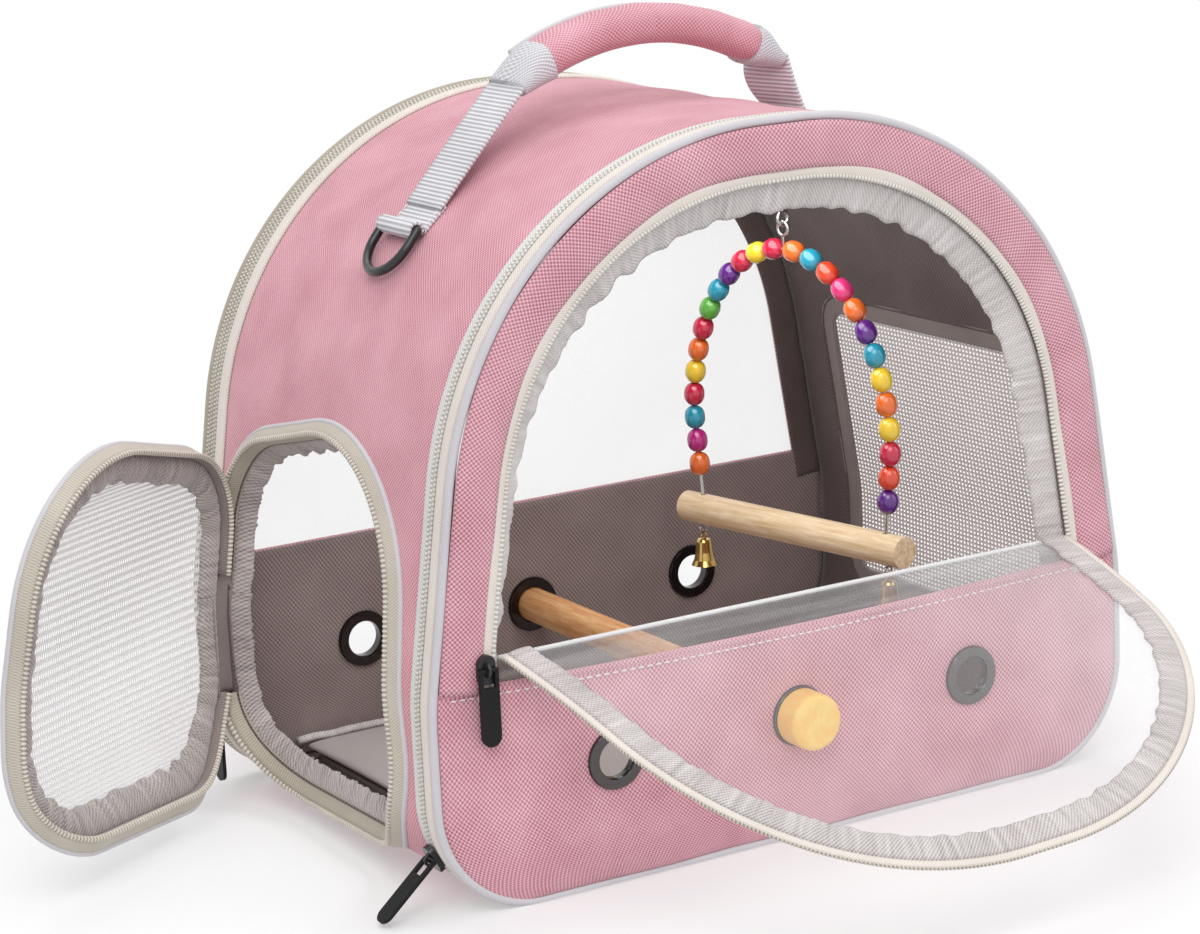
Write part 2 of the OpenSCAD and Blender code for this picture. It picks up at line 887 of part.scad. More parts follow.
// Places along one half of the arch at equal distances, from the top down
arch_lengths = [for (i = [leg_steps : leg_steps + arch_steps / 2 - 1])
    norm(arch_points[i + 1] - arch_points[i])];
half_points = [for (i = [leg_steps + arch_steps / 2 : len(arch_points) - 1]) arch_points[i]];
function walk(points, distance, i = 0) =
    i >= len(points) - 2 ? [points[i], points[i + 1] - points[i]]
    : let (step = norm(points[i + 1] - points[i]))
        distance <= step
            ? [points[i] + (points[i + 1] - points[i]) * distance / step, points[i + 1] - points[i]]
            : walk(points, distance - step, i + 1);
function path_length(points, i = 0) =
    i >= len(points) - 1 ? 0 : norm(points[i + 1] - points[i]) + path_length(points, i + 1);
beads_per_side = floor((path_length(half_points) - 4.5 - bead_d - stem_gap / 2) / bead_pitch) + 1;
bead_colours = ["orange", "mediumvioletred", "darkturquoise", "crimson", "gold", "orangered",
    "limegreen", "indigo"];

module bead(place) {
    lean = atan2(place[1].x, place[1].y);
    translate([place[0].x, 0, place[0].y]) rotate([0, lean, 0]) difference() {
        sphere(d = bead_d, $fn = 32);
        cylinder(d = wire_d + 0.8, h = bead_d + 2, center = true, $fn = 24);
    }
}

module swing_beads() {
    at_swing() for (side = [0, 1]) mirror([side, 0, 0])
        for (i = [0 : beads_per_side - 1])
            color(bead_colours[(i * (side + 2)) % len(bead_colours)])
                bead(walk(half_points, stem_gap / 2 + bead_d / 2 + i * bead_pitch));
}

bell_x = foot_x + 1;
small_eye_r = 2;
small_wire = 1;
dowel_low = swing_z - swing_d / 2;
small_pivot_z = dowel_low - 0.6 - 2 * small_eye_r;
shank_depth = 5;

module swing_dowel() {
    color([0.88, 0.76, 0.58]) at_swing() difference() {
        translate([0, 0, swing_z]) rotate([0, 90, 0])
            cylinder(d = swing_d, h = swing_l, center = true, $fn = round_fn);
        for (s = [-1, 1]) {
            translate([s * foot_x, 0, foot_z - 1])
                cylinder(d = wire_d + 1.2, h = swing_d, $fn = 24);
            translate([s * bell_x, 0, dowel_low - 1])
                cylinder(d = small_wire, h = shank_depth + 1, $fn = 24);
        }
    }
}

module swing_eyes() {
    color([0.74, 0.73, 0.72]) at_swing() for (s = [-1, 1]) translate([s * bell_x, 0, 0]) {
        wire_ring(small_pivot_z + small_eye_r, small_eye_r, small_wire, 90);
        translate([0, 0, small_pivot_z + 2 * small_eye_r - small_wire / 4])
            cylinder(d = small_wire, h = 0.6 + small_wire / 4 + shank_depth, $fn = 24);
    }
}

// A bell hung from its loop, with a socket for its clapper
loop_top = small_pivot_z + small_wire + ring_gap;
loop_eye_r = 1.8;
bell_top = loop_top - 2 * loop_eye_r - small_wire / 4;
clapper_pivot = bell_top - 1.6;
socket_r = 1;

module bell() {
    mouth = bell_top - bell_h;
    crown_r = bell_d * 0.24;
    waist_r = bell_d * 0.33;
    outer = [[crown_r, bell_top], [crown_r + 0.7, bell_top - 1], [waist_r, bell_top - bell_h * 0.5],
        [bell_d * 0.4, mouth + bell_h * 0.2], [bell_d / 2, mouth]];
    inner = [[bell_d / 2 - bell_wall, mouth], [bell_d * 0.4 - bell_wall, mouth + bell_h * 0.2],
        [waist_r - bell_wall, bell_top - bell_h * 0.5], [crown_r - 0.2, bell_top - 2.4]];
    difference() {
        rotate_extrude($fn = round_fn) polygon(concat([[0, bell_top]], outer, inner,
            [[0, bell_top - 2.4]]));
        translate([0, 0, bell_top - 2.6]) cylinder(r = socket_r, h = 2, $fn = 24);
    }
    wire_ring(loop_top - loop_eye_r, loop_eye_r, small_wire);
}

module clapper() {
    ball_r = bell_d * 0.14;
    translate([0, 0, clapper_pivot]) sphere(r = socket_r - 0.1, $fn = 24);
    translate([0, 0, clapper_pivot - bell_h * 0.62])
        cylinder(d = 0.8, h = bell_h * 0.62, $fn = 24);
    translate([0, 0, clapper_pivot - bell_h * 0.62]) sphere(r = ball_r, $fn = 24);
}

module front_bell() {
    color([0.82, 0.66, 0.22]) at_swing() translate([bell_x, 0, 0]) bell();
}

module rear_bell() {
    color([0.82, 0.66, 0.22]) at_swing() translate([-bell_x, 0, 0]) bell();
}

module front_clapper() {
    color([0.70, 0.56, 0.20]) at_swing() translate([bell_x, 0, 0]) clapper();
}

module rear_clapper() {
    color([0.70, 0.56, 0.20]) at_swing() translate([-bell_x, 0, 0]) clapper();
}

/* Zip sliders, drawn with the zip along Y and the outer face towards +Z */

bail_r = 2.6;
bail_wire = 1.4;
pivot_h = slider_t + 0.95;
seat = coil_proud + gap;

module slider() {
    linear_extrude(slider_t) {
        translate([0, slider_l / 2 - slider_w / 2]) circle(d = slider_w, $fn = 32);
        translate([-slider_w / 2, -slider_l / 2 + 2]) square([slider_w, slider_l / 2 + 0.2]);
        translate([-slider_w / 2 + 1.2, -slider_l / 2]) square([slider_w - 2.4, 3]);
    }
    translate([0, 0, slider_t]) rotate([0, -90, 0]) rotate([0, 0, -90])
        rotate_extrude(angle = 180, $fn = round_fn) translate([bail_r, 0])
            circle(d = bail_wire, $fn = 24);
}

module pull() {
    bar_r = 0.8;
    window = pull_w - 2 * 1.7;
    translate([0, 0, pivot_h]) {
        rotate([0, 90, 0]) cylinder(r = bar_r, h = pull_w, center = true, $fn = 24);
        difference() {
            translate([0, 0, -pull_t / 2]) linear_extrude(pull_t) {
                translate([-pull_w / 2, -pull_l + pull_w / 2])
                    square([pull_w, pull_l - pull_w / 2]);
                translate([0, -pull_l + pull_w / 2]) circle(d = pull_w, $fn = 32);
            }
            translate([-window / 2, -7, -pull_t]) cube([window, 7, 2 * pull_t]);
        }
    }
}

window_slider_x = -(half_width(fold_z) - window_inset + 1.7 + slider_w / 2);
window_slider_z = fold_z - 3;
door_slider_y = door_hinge_y + 2.2 + slider_w / 2;
door_slider_z = strip_bottom - 13;
front_rim_y = front_y + piping_w + front_tape_w + front_coil_w / 2;
rear_rim_y = band_rear + rear_tape_w + rear_coil_w / 2;

module at_window_slider() {
    translate([window_slider_x, face_front - seat, window_slider_z]) rotate([90, 0, 0]) children();
}

module at_door_slider() {
    translate([-body_w / 2 - seat, door_slider_y, door_slider_z])
        rotate([90, 0, -90]) children();
}

module at_rim_slider(y) {
    translate([-corner_x, y, corner_r]) rotate([0, -rim_park_angle, 0])
        translate([-corner_r - seat, 0, 0]) rotate([90, 0, -90]) children();
}

module rim_pull() {
    translate([0, 0, pivot_h]) rotate([-rim_pull_angle, 0, 0]) translate([0, 0, -pivot_h]) pull();
}

module window_slider() {
    color([0.16, 0.16, 0.17]) at_window_slider() slider();
}

module window_pull() {
    color([0.13, 0.13, 0.14]) at_window_slider() pull();
}

module door_slider() {
    color([0.16, 0.16, 0.17]) at_door_slider() slider();
}

module door_pull() {
    color([0.13, 0.13, 0.14]) at_door_slider() pull();
}

module front_rim_slider() {
    color([0.16, 0.16, 0.17]) at_rim_slider(front_rim_y) slider();
}

module front_rim_pull() {
    color([0.13, 0.13, 0.14]) at_rim_slider(front_rim_y) rim_pull();
}

module rear_rim_slider() {
    color([0.16, 0.16, 0.17]) mirror([1, 0, 0]) at_rim_slider(rear_rim_y) slider();
}

module rear_rim_pull() {
    color([0.13, 0.13, 0.14]) mirror([1, 0, 0]) at_rim_slider(rear_rim_y) rim_pull();
}

band_fabric();
band_lining();
base_board();
floor_pad();
front_arch();
front_panel();
front_piping();
front_rim_zip();
rear_arch();
rear_window();
rear_panel();
rear_lining();
rear_rim_zip();
window_zip();
window_binding();
film_fold();
flap_film();
flap_binding();
flap_zip();
window_slider();
window_pull();
door_frame_zip();
hinge_strip();
door_mesh();
door_binding();
door_zip();
door_slider();
door_pull();
front_rim_slider();
front_rim_pull();
rear_rim_slider();
rear_rim_pull();
mesh_window();
mesh_binding();
front_grommets();
rear_grommets();
perch_dowel();
perch_studs();
front_knob();
rear_knob();
handle_grip();
handle_sleeves();
left_web();
right_web();
left_strap();
right_strap();
left_d_ring();
right_d_ring();
swing_ring();
swing_hook();
swing_wire();
swing_beads();
swing_dowel();
swing_eyes();
front_bell();
rear_bell();
front_clapper();
rear_clapper();
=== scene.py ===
import math

import bpy
import numpy as np
from mathutils import Matrix, Vector


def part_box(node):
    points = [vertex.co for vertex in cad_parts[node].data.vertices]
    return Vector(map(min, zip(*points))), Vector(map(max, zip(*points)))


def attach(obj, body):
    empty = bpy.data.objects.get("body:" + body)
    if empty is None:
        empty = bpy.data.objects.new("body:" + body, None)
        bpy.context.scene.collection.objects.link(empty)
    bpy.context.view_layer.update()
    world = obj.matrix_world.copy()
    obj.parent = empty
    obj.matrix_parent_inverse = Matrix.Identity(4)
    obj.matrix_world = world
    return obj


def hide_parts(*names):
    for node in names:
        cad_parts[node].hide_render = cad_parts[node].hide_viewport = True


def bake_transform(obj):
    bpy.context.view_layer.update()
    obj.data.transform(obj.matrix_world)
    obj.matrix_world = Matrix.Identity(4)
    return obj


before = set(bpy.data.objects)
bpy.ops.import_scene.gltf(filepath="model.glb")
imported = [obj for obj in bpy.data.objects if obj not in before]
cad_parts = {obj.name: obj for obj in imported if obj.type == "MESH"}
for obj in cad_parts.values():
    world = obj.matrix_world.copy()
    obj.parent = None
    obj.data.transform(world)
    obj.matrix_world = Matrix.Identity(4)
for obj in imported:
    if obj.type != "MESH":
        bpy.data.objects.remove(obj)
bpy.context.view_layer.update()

TAU = 2 * math.pi

# Sizes and places that the dressing shares with the solids, in millimetres.
# The windows are measured inwards from the shell's outline.
HEIGHT, DEPTH = 300.0, 226.0
FACE = -DEPTH / 2 + 1.0
FRONT_TOP, REAR_TOP = 94.0, 101.5
FRONT_SAG, FRONT_HALF = 3.5, 165
WINDOW, REAR_WINDOW = 26.0, 15.0
FOLD_Y, FOLD_Z = -112.8, 104.0
HINGE_Y = 80.0
HINGE_LOW = Vector((-170.4, 80.0, 52.0))
HINGE_HIGH = Vector((-168.38, 80.0, 100.0))
GROMMET_X, GROMMET_Z, GROMMET_HOLE = (-89.0, 0.0, 89.0), 52.0, 12.2
COIL_PITCH = 1.9
SWING = Vector((65.0, -15.5, 0.0))
SWING_ALONG = (0.1873813, -0.9822873)

# How far the flap and the door stand open, in degrees
FLAP_OPEN, DOOR_OPEN = 112.0, 56.0


def camera():
    """Stands where the photograph was taken; angles in radians, places in metres."""
    turn, rise, roll = -0.5338894, 0.2325335, -0.0458308
    target, distance = Vector((-0.01832, 0.0095, 0.1390)), 1.4410
    back = Vector((math.sin(turn) * math.cos(rise), -math.cos(turn) * math.cos(rise), math.sin(rise)))
    right = (-back).cross(Vector((0, 0, 1))).normalized()
    up = right.cross(-back)
    side = right * math.cos(roll) + up * math.sin(roll)
    top = up * math.cos(roll) - right * math.sin(roll)
    data = bpy.data.cameras.new("view_of_the_photo")
    data.lens, data.sensor_width = 99.0, 36.0
    data.clip_start, data.clip_end = 0.05, 30.0
    holder = bpy.data.objects.new("view_of_the_photo", data)
    bpy.context.scene.collection.objects.link(holder)
    place = target + back * distance
    holder.matrix_world = Matrix((
        (side.x, top.x, back.x, place.x), (side.y, top.y, back.y, place.y),
        (side.z, top.z, back.z, place.z), (0, 0, 0, 1)))
    bpy.context.scene.camera = holder


camera()


# Outlines -------------------------------------------------------------------

def tangent_angle(a, b):
    """Direction from a lobe's middle to where the line leaves it for the next lobe, in degrees."""
    away = math.hypot(b[0] - a[0], b[1] - a[1])
    return math.degrees(math.atan2(b[1] - a[1], b[0] - a[0]) - math.acos((a[2] - b[2]) / away))


def lengths(line):
    """Length along a line in a plane, at each of its points."""
    return np.concatenate([[0], np.cumsum(np.hypot(*np.diff(line, axis=0).T))])


class Outline:
    """A smooth closed line round a chain of lobes, measured along its length."""

    def __init__(self, lobes, step=1.5):
        points, normals = [], []
        for i, (x, z, r) in enumerate(lobes):
            start = tangent_angle(lobes[i - 1], lobes[i])
            turn = (tangent_angle(lobes[i], lobes[(i + 1) % len(lobes)]) - start) % 360
            steps = max(2, math.ceil(turn / step))
            for k in range(steps + 1):
                a = math.radians(start + turn * k / steps)
                points.append((x + r * math.cos(a), z + r * math.sin(a)))
                normals.append((math.cos(a), math.sin(a)))
        middle = tuple((p + q) / 2 for p, q in zip(points[0], points[-1]))
        self.points = np.array([middle] + points + [middle])
        self.normals = np.array([normals[0]] + normals + [normals[-1]])
        self.s = lengths(self.points)
        self.length = self.s[-1]

    def drawn_in(self, inset):
        """Its points, moved inwards."""
        return self.points - self.normals * inset

    def at(self, s):
        s = np.mod(s, self.length + 1e-9)
        point = [np.interp(s, self.s, self.points[:, i]) for i in (0, 1)]
        normal = [np.interp(s, self.s, self.normals[:, i]) for i in (0, 1)]
        return point[0], point[1], normal[0], normal[1]

    def s_at(self, height, right):
        """Length at which the line passes a height on its right or left half."""
        half = self.points[:, 0] > 0 if right else self.points[:, 0] < 0
        order = np.argsort(self.points[half, 1])
        return float(np.interp(height, self.points[half, 1][order], self.s[half][order]))


# Lobes: place of the middle, then radius. The door's are measured from its hinge.
shell = Outline([(124, 46, 46), (70, 80, 100), (9, 150, 150), (-9, 150, 150), (-70, 80, 100), (-124, 46, 46)])
door = Outline([(51, 67, 51), (115, 62, 44), (90, 112, 63), (44, 121, 44)])
mesh_line = Outline([(-70, 54, 16), (70, 54, 16), (70, 168, 16), (-70, 168, 16)])


def across_at(points, z):
    """Where one side of an outline stands at a height."""
    order = np.argsort(points[:, 1])
    return np.interp(z, points[order, 1], points[order, 0])


def side_wall():
    """The wall's height, half width and normal, from the floor up."""
    left = shell.points[:, 0] < -100
    order = np.argsort(shell.points[left, 1])
    points, normals = shell.points[left][order], shell.normals[left][order]
    return points[:, 1], -points[:, 0], -normals[:, 0], normals[:, 1]


WALL_Z, WALL_X, WALL_NX, WALL_NZ = side_wall()


def half_width(z):
    return np.interp(z, WALL_Z, WALL_X)


def wall(y, z, h, side=-1):
    """A point h outside the side wall."""
    x = half_width(z) + h * np.interp(z, WALL_Z, WALL_NX)
    return np.stack([side * x, y + 0 * x, z + h * np.interp(z, WALL_Z, WALL_NZ)], 1)


def turned(points, about, axis, degrees):
    m = np.array(Matrix.Rotation(math.radians(degrees), 3, Vector(axis)))
    return (points - np.array(about)) @ m.T + np.array(about)


def opened_door(points):
    return turned(points, HINGE_LOW, (HINGE_HIGH - HINGE_LOW).normalized(), -DOOR_OPEN)


def opened_flap(points):
    """The flap folded down; its soft film bows up and its end sags to the right."""
    length, half = 170, 142
    bow_up, droop, shift, spread, sag = 8.0, 5.0, 6.5, 0.03, 6.0
    along = np.clip((points[:, 2] - FOLD_Z) / length, 0, 1)
    side = points[:, 0] / half
    open_points = turned(points, (0, FOLD_Y, FOLD_Z), (1, 0, 0), FLAP_OPEN)
    tilt = math.radians(FLAP_OPEN)
    bow = bow_up * np.sin(np.pi * along) - droop * along ** 2
    open_points[:, 0] += shift * along + spread * points[:, 0] * along
    open_points[:, 1] += bow * math.cos(tilt)
    open_points[:, 2] += bow * math.sin(tilt) + sag * side * along
    return open_points


# A track takes a length along an outline, an offset across it and a height off its surface

def on_rim(s, y, h):
    x, z, nx, nz = shell.at(s)
    return np.stack([x + nx * h, y + 0 * x, z + nz * h], 1)


def on_front(s, inset, h):
    x, z, nx, nz = shell.at(s)
    return np.stack([x - nx * inset, FACE - h + 0 * x, z - nz * inset], 1)


def on_back(s, inset, h):
    return on_front(s, inset, h) * np.array([1, -1, 1])


def on_flap(s, inset, h):
    return opened_flap(on_front(s, inset, h))


def on_frame(s, inset, h):
    w, z, nw, nz = door.at(s)
    return wall(HINGE_Y - (w - nw * inset), z - nz * inset, h)


def on_door(s, inset, h):
    return opened_door(on_frame(s, inset, h))


def on_right(s, inset, h):
    y, z, ny, nz = mesh_line.at(s)
    return wall(y - ny * inset, z - nz * inset, h, side=1)


# Modelling ------------------------------------------------------------------

def deselect():
    if bpy.context.object and bpy.context.object.mode != "OBJECT":
        bpy.ops.object.mode_set(mode="OBJECT")
    bpy.ops.object.select_all(action="DESELECT")


def choose(piece):
    deselect()
    piece.select_set(True)
    bpy.context.view_layer.objects.active = piece


def smooth(piece):
    choose(piece)
    bpy.ops.object.shade_smooth()


def copied(pattern):
    """A copy of a piece, with a mesh of its own."""
    piece = pattern.copy()
    piece.data = pattern.data.copy()
    bpy.context.scene.collection.objects.link(piece)
    return piece


def corners(piece):
    co = np.zeros(len(piece.data.vertices) * 3)
    piece.data.vertices.foreach_get("co", co)
    return co.reshape(-1, 3)


def put_corners(piece, co):
    piece.data.vertices.foreach_set("co", np.asarray(co, float).ravel())
    piece.data.update()


def edit(piece, *steps):
    """Runs edit-mode operators on everything in a piece."""
    choose(piece)
    bpy.ops.object.mode_set(mode="EDIT")
    bpy.ops.mesh.select_all(action="SELECT")
    for step, values in steps:
        getattr(bpy.ops.mesh, step)(**values)
    bpy.ops.object.mode_set(mode="OBJECT")


def finish_with(piece, kind, **values):
    choose(piece)
    modifier = piece.modifiers.new(kind.title(), kind)
    for name, value in values.items():
        setattr(modifier, name, value)
    bpy.ops.object.modifier_apply(modifier=modifier.name)


def cloth(name, across, along, place, size, loop=False, tube=False, thick=0.0, cut=None):
    """A sheet or tube of cloth: a grid laid out by place(u, v) in millimetres."""
    deselect()
    bpy.ops.mesh.primitive_grid_add(x_subdivisions=across, y_subdivisions=along, size=2)
    piece = bpy.context.object
    piece.name = piece.data.name = name
    co = corners(piece)
    u, v = (co[:, 0] + 1) / 2, (co[:, 1] + 1) / 2
    put_corners(piece, place(u, v) * 0.001)
    layer = piece.data.uv_layers[0]
    layer.name = "Weave"
    uv = np.zeros(len(layer.data) * 2)
    layer.data.foreach_get("uv", uv)
    layer.data.foreach_set("uv", (uv.reshape(-1, 2) * np.array(size)).ravel())
    if cut is not None:
        cut(piece)
    if loop or tube:
        edit(piece, ("remove_doubles", {"threshold": 2e-6}))
    if tube and not loop:
        edit(piece, ("fill_holes", {"sides": 0}))
    if thick:
        finish_with(piece, "SOLIDIFY", thickness=thick * 0.001, offset=0.0, use_even_offset=True)
    if thick or tube:
        edit(piece, ("normals_make_consistent", {"inside": False}))
    smooth(piece)
    return piece


def cut_away(piece, inside, onto=None):
    """Takes out the faces that lie inside, and pulls the edge that stays onto a line."""
    co = corners(piece) * 1000
    hidden = inside(co)
    gone = [all(hidden[v] for v in f.vertices) for f in piece.data.polygons]
    if onto is not None:
        edge = np.zeros(len(co), bool)
        for f, out in zip(piece.data.polygons, gone):
            if not out:
                edge[[v for v in f.vertices if hidden[v]]] = True
        co[edge] = onto(co[edge])
        put_corners(piece, co * 0.001)
    choose(piece)
    bpy.ops.object.mode_set(mode="EDIT")
    bpy.ops.mesh.select_mode(type="FACE")
    bpy.ops.object.mode_set(mode="OBJECT")
    for f, out in zip(piece.data.polygons, gone):
        f.select = bool(out)
    bpy.ops.object.mode_set(mode="EDIT")
    bpy.ops.mesh.delete(type="FACE")
    bpy.ops.mesh.select_mode(type="VERT")
    bpy.ops.object.mode_set(mode="OBJECT")


def swell(piece, pressure, limit):
    """Blows a closed cover up a little, as its filling does."""
    before = corners(piece)
    choose(piece)
    modifier = piece.modifiers.new("Cloth", "CLOTH")
    settings = modifier.settings
    settings.use_pressure = True
    settings.uniform_pressure_force = pressure
    settings.effector_weights.gravity = 0
    settings.quality = 5
    last = 20
    modifier.point_cache.frame_end = last
    scene = bpy.context.scene
    for k in range(1, last + 1):
        scene.frame_set(k)
    bpy.ops.object.modifier_apply(modifier=modifier.name)
    scene.frame_set(1)
    move = corners(piece) - before
    far = np.linalg.norm(move, axis=1, keepdims=True)
    put_corners(piece, before + move * np.minimum(1, limit / np.maximum(far, 1e-9)))


def waves(s, length, seed):
    """A slow wander from -1 to 1 along a line, the same on each run and closed over a full lap."""
    lap, spread = 1040, 0.35
    rng = np.random.default_rng(seed)
    turns = np.maximum(1, np.round(lap / length * (1 + spread * rng.uniform(-1, 1, 5))))
    parts = [np.sin(TAU * (s / lap * k + rng.uniform())) for k in turns]
    return sum(parts) / 2.6


def band(name, track, s0, s1, edge0, edge1, h, h1=None, thick=0.8, steps=3.0, across=4, crown=0.0,
         pucker=0.0, seed=1, shape=None, loop=False):
    """A strip sewn along an outline, from one side offset and height to another.

    crown arches it, pucker gathers it, and shape(u) is its share of the full width.
    """
    run = s1 - s0
    climb = 0.0 if h1 is None else h1 - h

    def place(u, v):
        s = s0 + run * u
        lift = crown * np.sin(np.pi * v) ** 0.6 + climb * v
        side = edge0 + (edge1 - edge0) * v * (1.0 if shape is None else shape(u))
        if pucker:
            # Folds about 5 mm apart, which wander along the seam and deepen towards the free edge
            phase = s / 5.0 + 1.1 * waves(s, 42, seed)
            ridge = (np.abs(np.sin(np.pi * phase)) ** 0.8 - 0.5) * (0.75 + 0.45 * waves(s, 27, seed + 1))
            lift = lift + pucker * ridge * (0.35 + 0.65 * v)
            side = side + abs(pucker) * 0.8 * waves(s, 17, seed + 3) * v ** 2
        return track(s, side, h + lift)

    cells = max(8, int(run / steps))
    return cloth(name, cells, across, place, (run, abs(edge1 - edge0)), loop=loop, thick=thick)


def cord(name, track, s0, s1, side, h, r, pitch=0.0, depth=0.4, around=8, wander=0.0, loop=False):
    """Piping lying along an outline, or a zip's coil when it has a pitch."""
    run, steps = s1 - s0, 3.0
    if pitch:
        pitch = run / round(run / pitch)
        steps = pitch / 4

    def place(u, v):
        s = s0 + run * u
        full = 1 - depth + depth * np.abs(np.sin(np.pi * s / pitch)) if pitch else 1.0
        a = TAU * v
        drift = wander * waves(s, 120, 2) if wander else 0.0
        return track(s, side + r * full * np.cos(a), h + drift + r * full * np.sin(a))

    return cloth(name, int(run / steps), around, place, (run, 6.28 * r), loop=loop, tube=True)


def coil(name, track, s0, s1, side, h, r, depth=0.4, loop=False):
    """One row of a zip: its turns swell by depth, a share of the radius."""
    return cord(name, track, s0, s1, side, h, r, pitch=COIL_PITCH, depth=depth, around=6, loop=loop)


# Finishes -------------------------------------------------------------------

class Num:
    """A value on a node's socket that can be used in a sum."""

    def __init__(self, nodes, socket):
        self.nodes, self.socket = nodes, socket

    def __add__(self, other):
        return self.nodes.maths("ADD", self, other)

    def __sub__(self, other):
        return self.nodes.maths("SUBTRACT", self, other)

    def __rsub__(self, other):
        return self.nodes.maths("SUBTRACT", other, self)

    def __mul__(self, other):
        return self.nodes.maths("MULTIPLY", self, other)

    def __pow__(self, other):
        return self.nodes.maths("POWER", self, other)

    def __lt__(self, other):
        return self.nodes.maths("LESS_THAN", self, other)

    __radd__, __rmul__ = __add__, __mul__

    def sine(self):
        return self.nodes.maths("SINE", self)

    def size(self):
        return self.nodes.maths("ABSOLUTE", self)

    def beside(self, output):
        """Another output of the same node."""
        return Num(self.nodes, self.socket.node.outputs[output])


class Nodes:
    """A node tree, and the one method that adds nodes to it."""

    def __init__(self, tree):
        self.tree = tree

    def node(self, kind, settings=None, *inputs, out=0, **named):
        made = self.tree.nodes.new("ShaderNode" + kind)
        for key, value in (settings or {}).items():
            setattr(made, key, value)
        for key, value in list(enumerate(inputs)) + list(named.items()):
            target = made.inputs[key if isinstance(key, int) else key.replace("_", " ")]
            if isinstance(value, Num):
                self.tree.links.new(value.socket, target)
            elif value is not None:
                target.default_value = value
        return Num(self, made.outputs[out])

    def maths(self, operation, *values):
        return self.node("Math", {"operation": operation}, *values)

    def join(self, value, to, name):
        self.tree.links.new(value.socket, to.inputs[name])


class Finish(Nodes):
    """A material: its shader and the nodes that feed it."""

    def __init__(self, name, **values):
        self.material = bpy.data.materials.new(name)
        self.material.use_nodes = True
        super().__init__(self.material.node_tree)
        self.shader = self.tree.nodes["Principled BSDF"]
        for key, value in values.items():
            self.shader.inputs[key.replace("_", " ").title().replace("Ior", "IOR")].default_value = value

    def place(self):
        """The place on the piece, in millimetres."""
        where = self.node("TexCoord", out="Object")
        return self.node("VectorMath", {"operation": "SCALE"}, where, Scale=1000.0)

    def weave(self):
        """The place along and across the cloth, in millimetres."""
        along = self.node("SeparateXYZ", None, self.node("UVMap", {"uv_map": "Weave"}), out="X")
        return along, along.beside("Y")

    def axes(self):
        x = self.node("SeparateXYZ", None, self.place(), out="X")
        return x, x.beside("Y"), x.beside("Z")

    def noise(self, where, scale, detail=2.0, roughness=0.5):
        settings = {"noise_dimensions": "3D"}
        return self.node("TexNoise", settings, where, Scale=scale, Detail=detail, Roughness=roughness)

    def mix(self, share, a, b):
        """A colour between two others; a Mix node has its colours in sockets 6 and 7."""
        return self.node("Mix", {"data_type": "RGBA"}, share, *[None] * 5, a, b, out=2)

    def feed(self, name, value):
        self.join(value, self.shader, name)

    def relief(self, height, depth, strength=1.0):
        """depth is the height of the relief, in millimetres."""
        self.feed("Normal", self.node("Bump", None, Strength=strength, Distance=depth * 0.001, Height=height))


def paint(r, g, b):
    """A colour picked on a screen, as the light it stands for."""
    def light(c):
        return c / 255 / 12.92 if c <= 10 else ((c / 255 + 0.055) / 1.055) ** 2.4

    return light(r), light(g), light(b), 1.0


def toned(colour, share, lift=0.0):
    """A colour made darker or paler."""
    return tuple(min(1.0, c * share + lift) for c in colour[:3]) + (1.0,)


def woven(name, deep, pale, depth, kind="basket", pitch=1.9, rough=0.82, sheen=0.25, mottle=0.25,
          wrinkle=0.0):
    """Cloth whose threads follow the sheet they are laid on; depth and wrinkle are in millimetres, and a
    wrinkle also brings painted shade into its folds.
    """
    f = Finish(name, roughness=rough, sheen_weight=sheen, sheen_roughness=0.5, specular_ior_level=0.3)
    u, v = f.weave()
    if kind == "basket":
        threads = (u * (TAU / pitch)).sine() * (v * (TAU / pitch)).sine() * 0.5 + 0.5
    elif kind == "twill":
        threads = ((u + v) * (TAU / pitch)).sine() * 0.35 + ((u - v) * (TAU / pitch)).sine() * 0.15 + 0.5
    elif kind == "rib":
        threads = (u * (TAU / pitch)).sine() * 0.5 + 0.5
    else:
        rows = 6.0
        zig = f.maths("PINGPONG", v * (1 / rows), 0.5)
        threads = (u * (TAU / pitch) + zig * rows * (TAU / pitch)).sine() * 0.4 + 0.5
    wear = f.noise(f.place(), 0.035, 3.0)
    slub = f.noise(f.place(), 0.9, 2.0)
    shade = threads * (1 - mottle) + slub * mottle * 0.7 + (wear - 0.5) * 0.5
    height = threads * depth + slub * (depth * 0.25)
    if wrinkle:
        fold_height_and_painted_shade = f.noise(f.node("CombineXYZ", None, u * 0.30, v * 0.035, 0.0), 1.0, 3.0, 0.55)
        # Painted shade: the colour darkens in the hollows of the folds, whose noise also gives their relief
        shade = shade * 0.75 + (fold_height_and_painted_shade - 0.5) * 0.9 + 0.12
        height = height + fold_height_and_painted_shade * wrinkle
    f.feed("Base Color", f.mix(shade, paint(*deep), paint(*pale)))
    f.feed("Roughness", rough + (slub - 0.5) * 0.12)
    f.relief(height, 1.0)
    return f.material


def plain_cloth(name, deep, pale, pitch, depth):
    """Cloth for a piece whose sheet has no lay of its own."""
    f = Finish(name, roughness=0.85, sheen_weight=0.3, specular_ior_level=0.3)
    x, y = f.axes()[:2]
    threads = (x * (TAU / pitch)).sine() * (y * (TAU / pitch)).sine() * 0.5 + 0.5
    slub = f.noise(f.place(), 0.8, 2.0)
    tone = f.noise(f.place(), 0.02, 3.0)
    shade = threads * 0.6 + slub * 0.2 + (tone - 0.5) * 0.6 + 0.1
    f.feed("Base Color", f.mix(shade, paint(*deep), paint(*pale)))
    f.feed("Roughness", 0.8 + (slub - 0.5) * 0.15)
    f.relief(threads + slub * 0.3, depth)
    return f.material


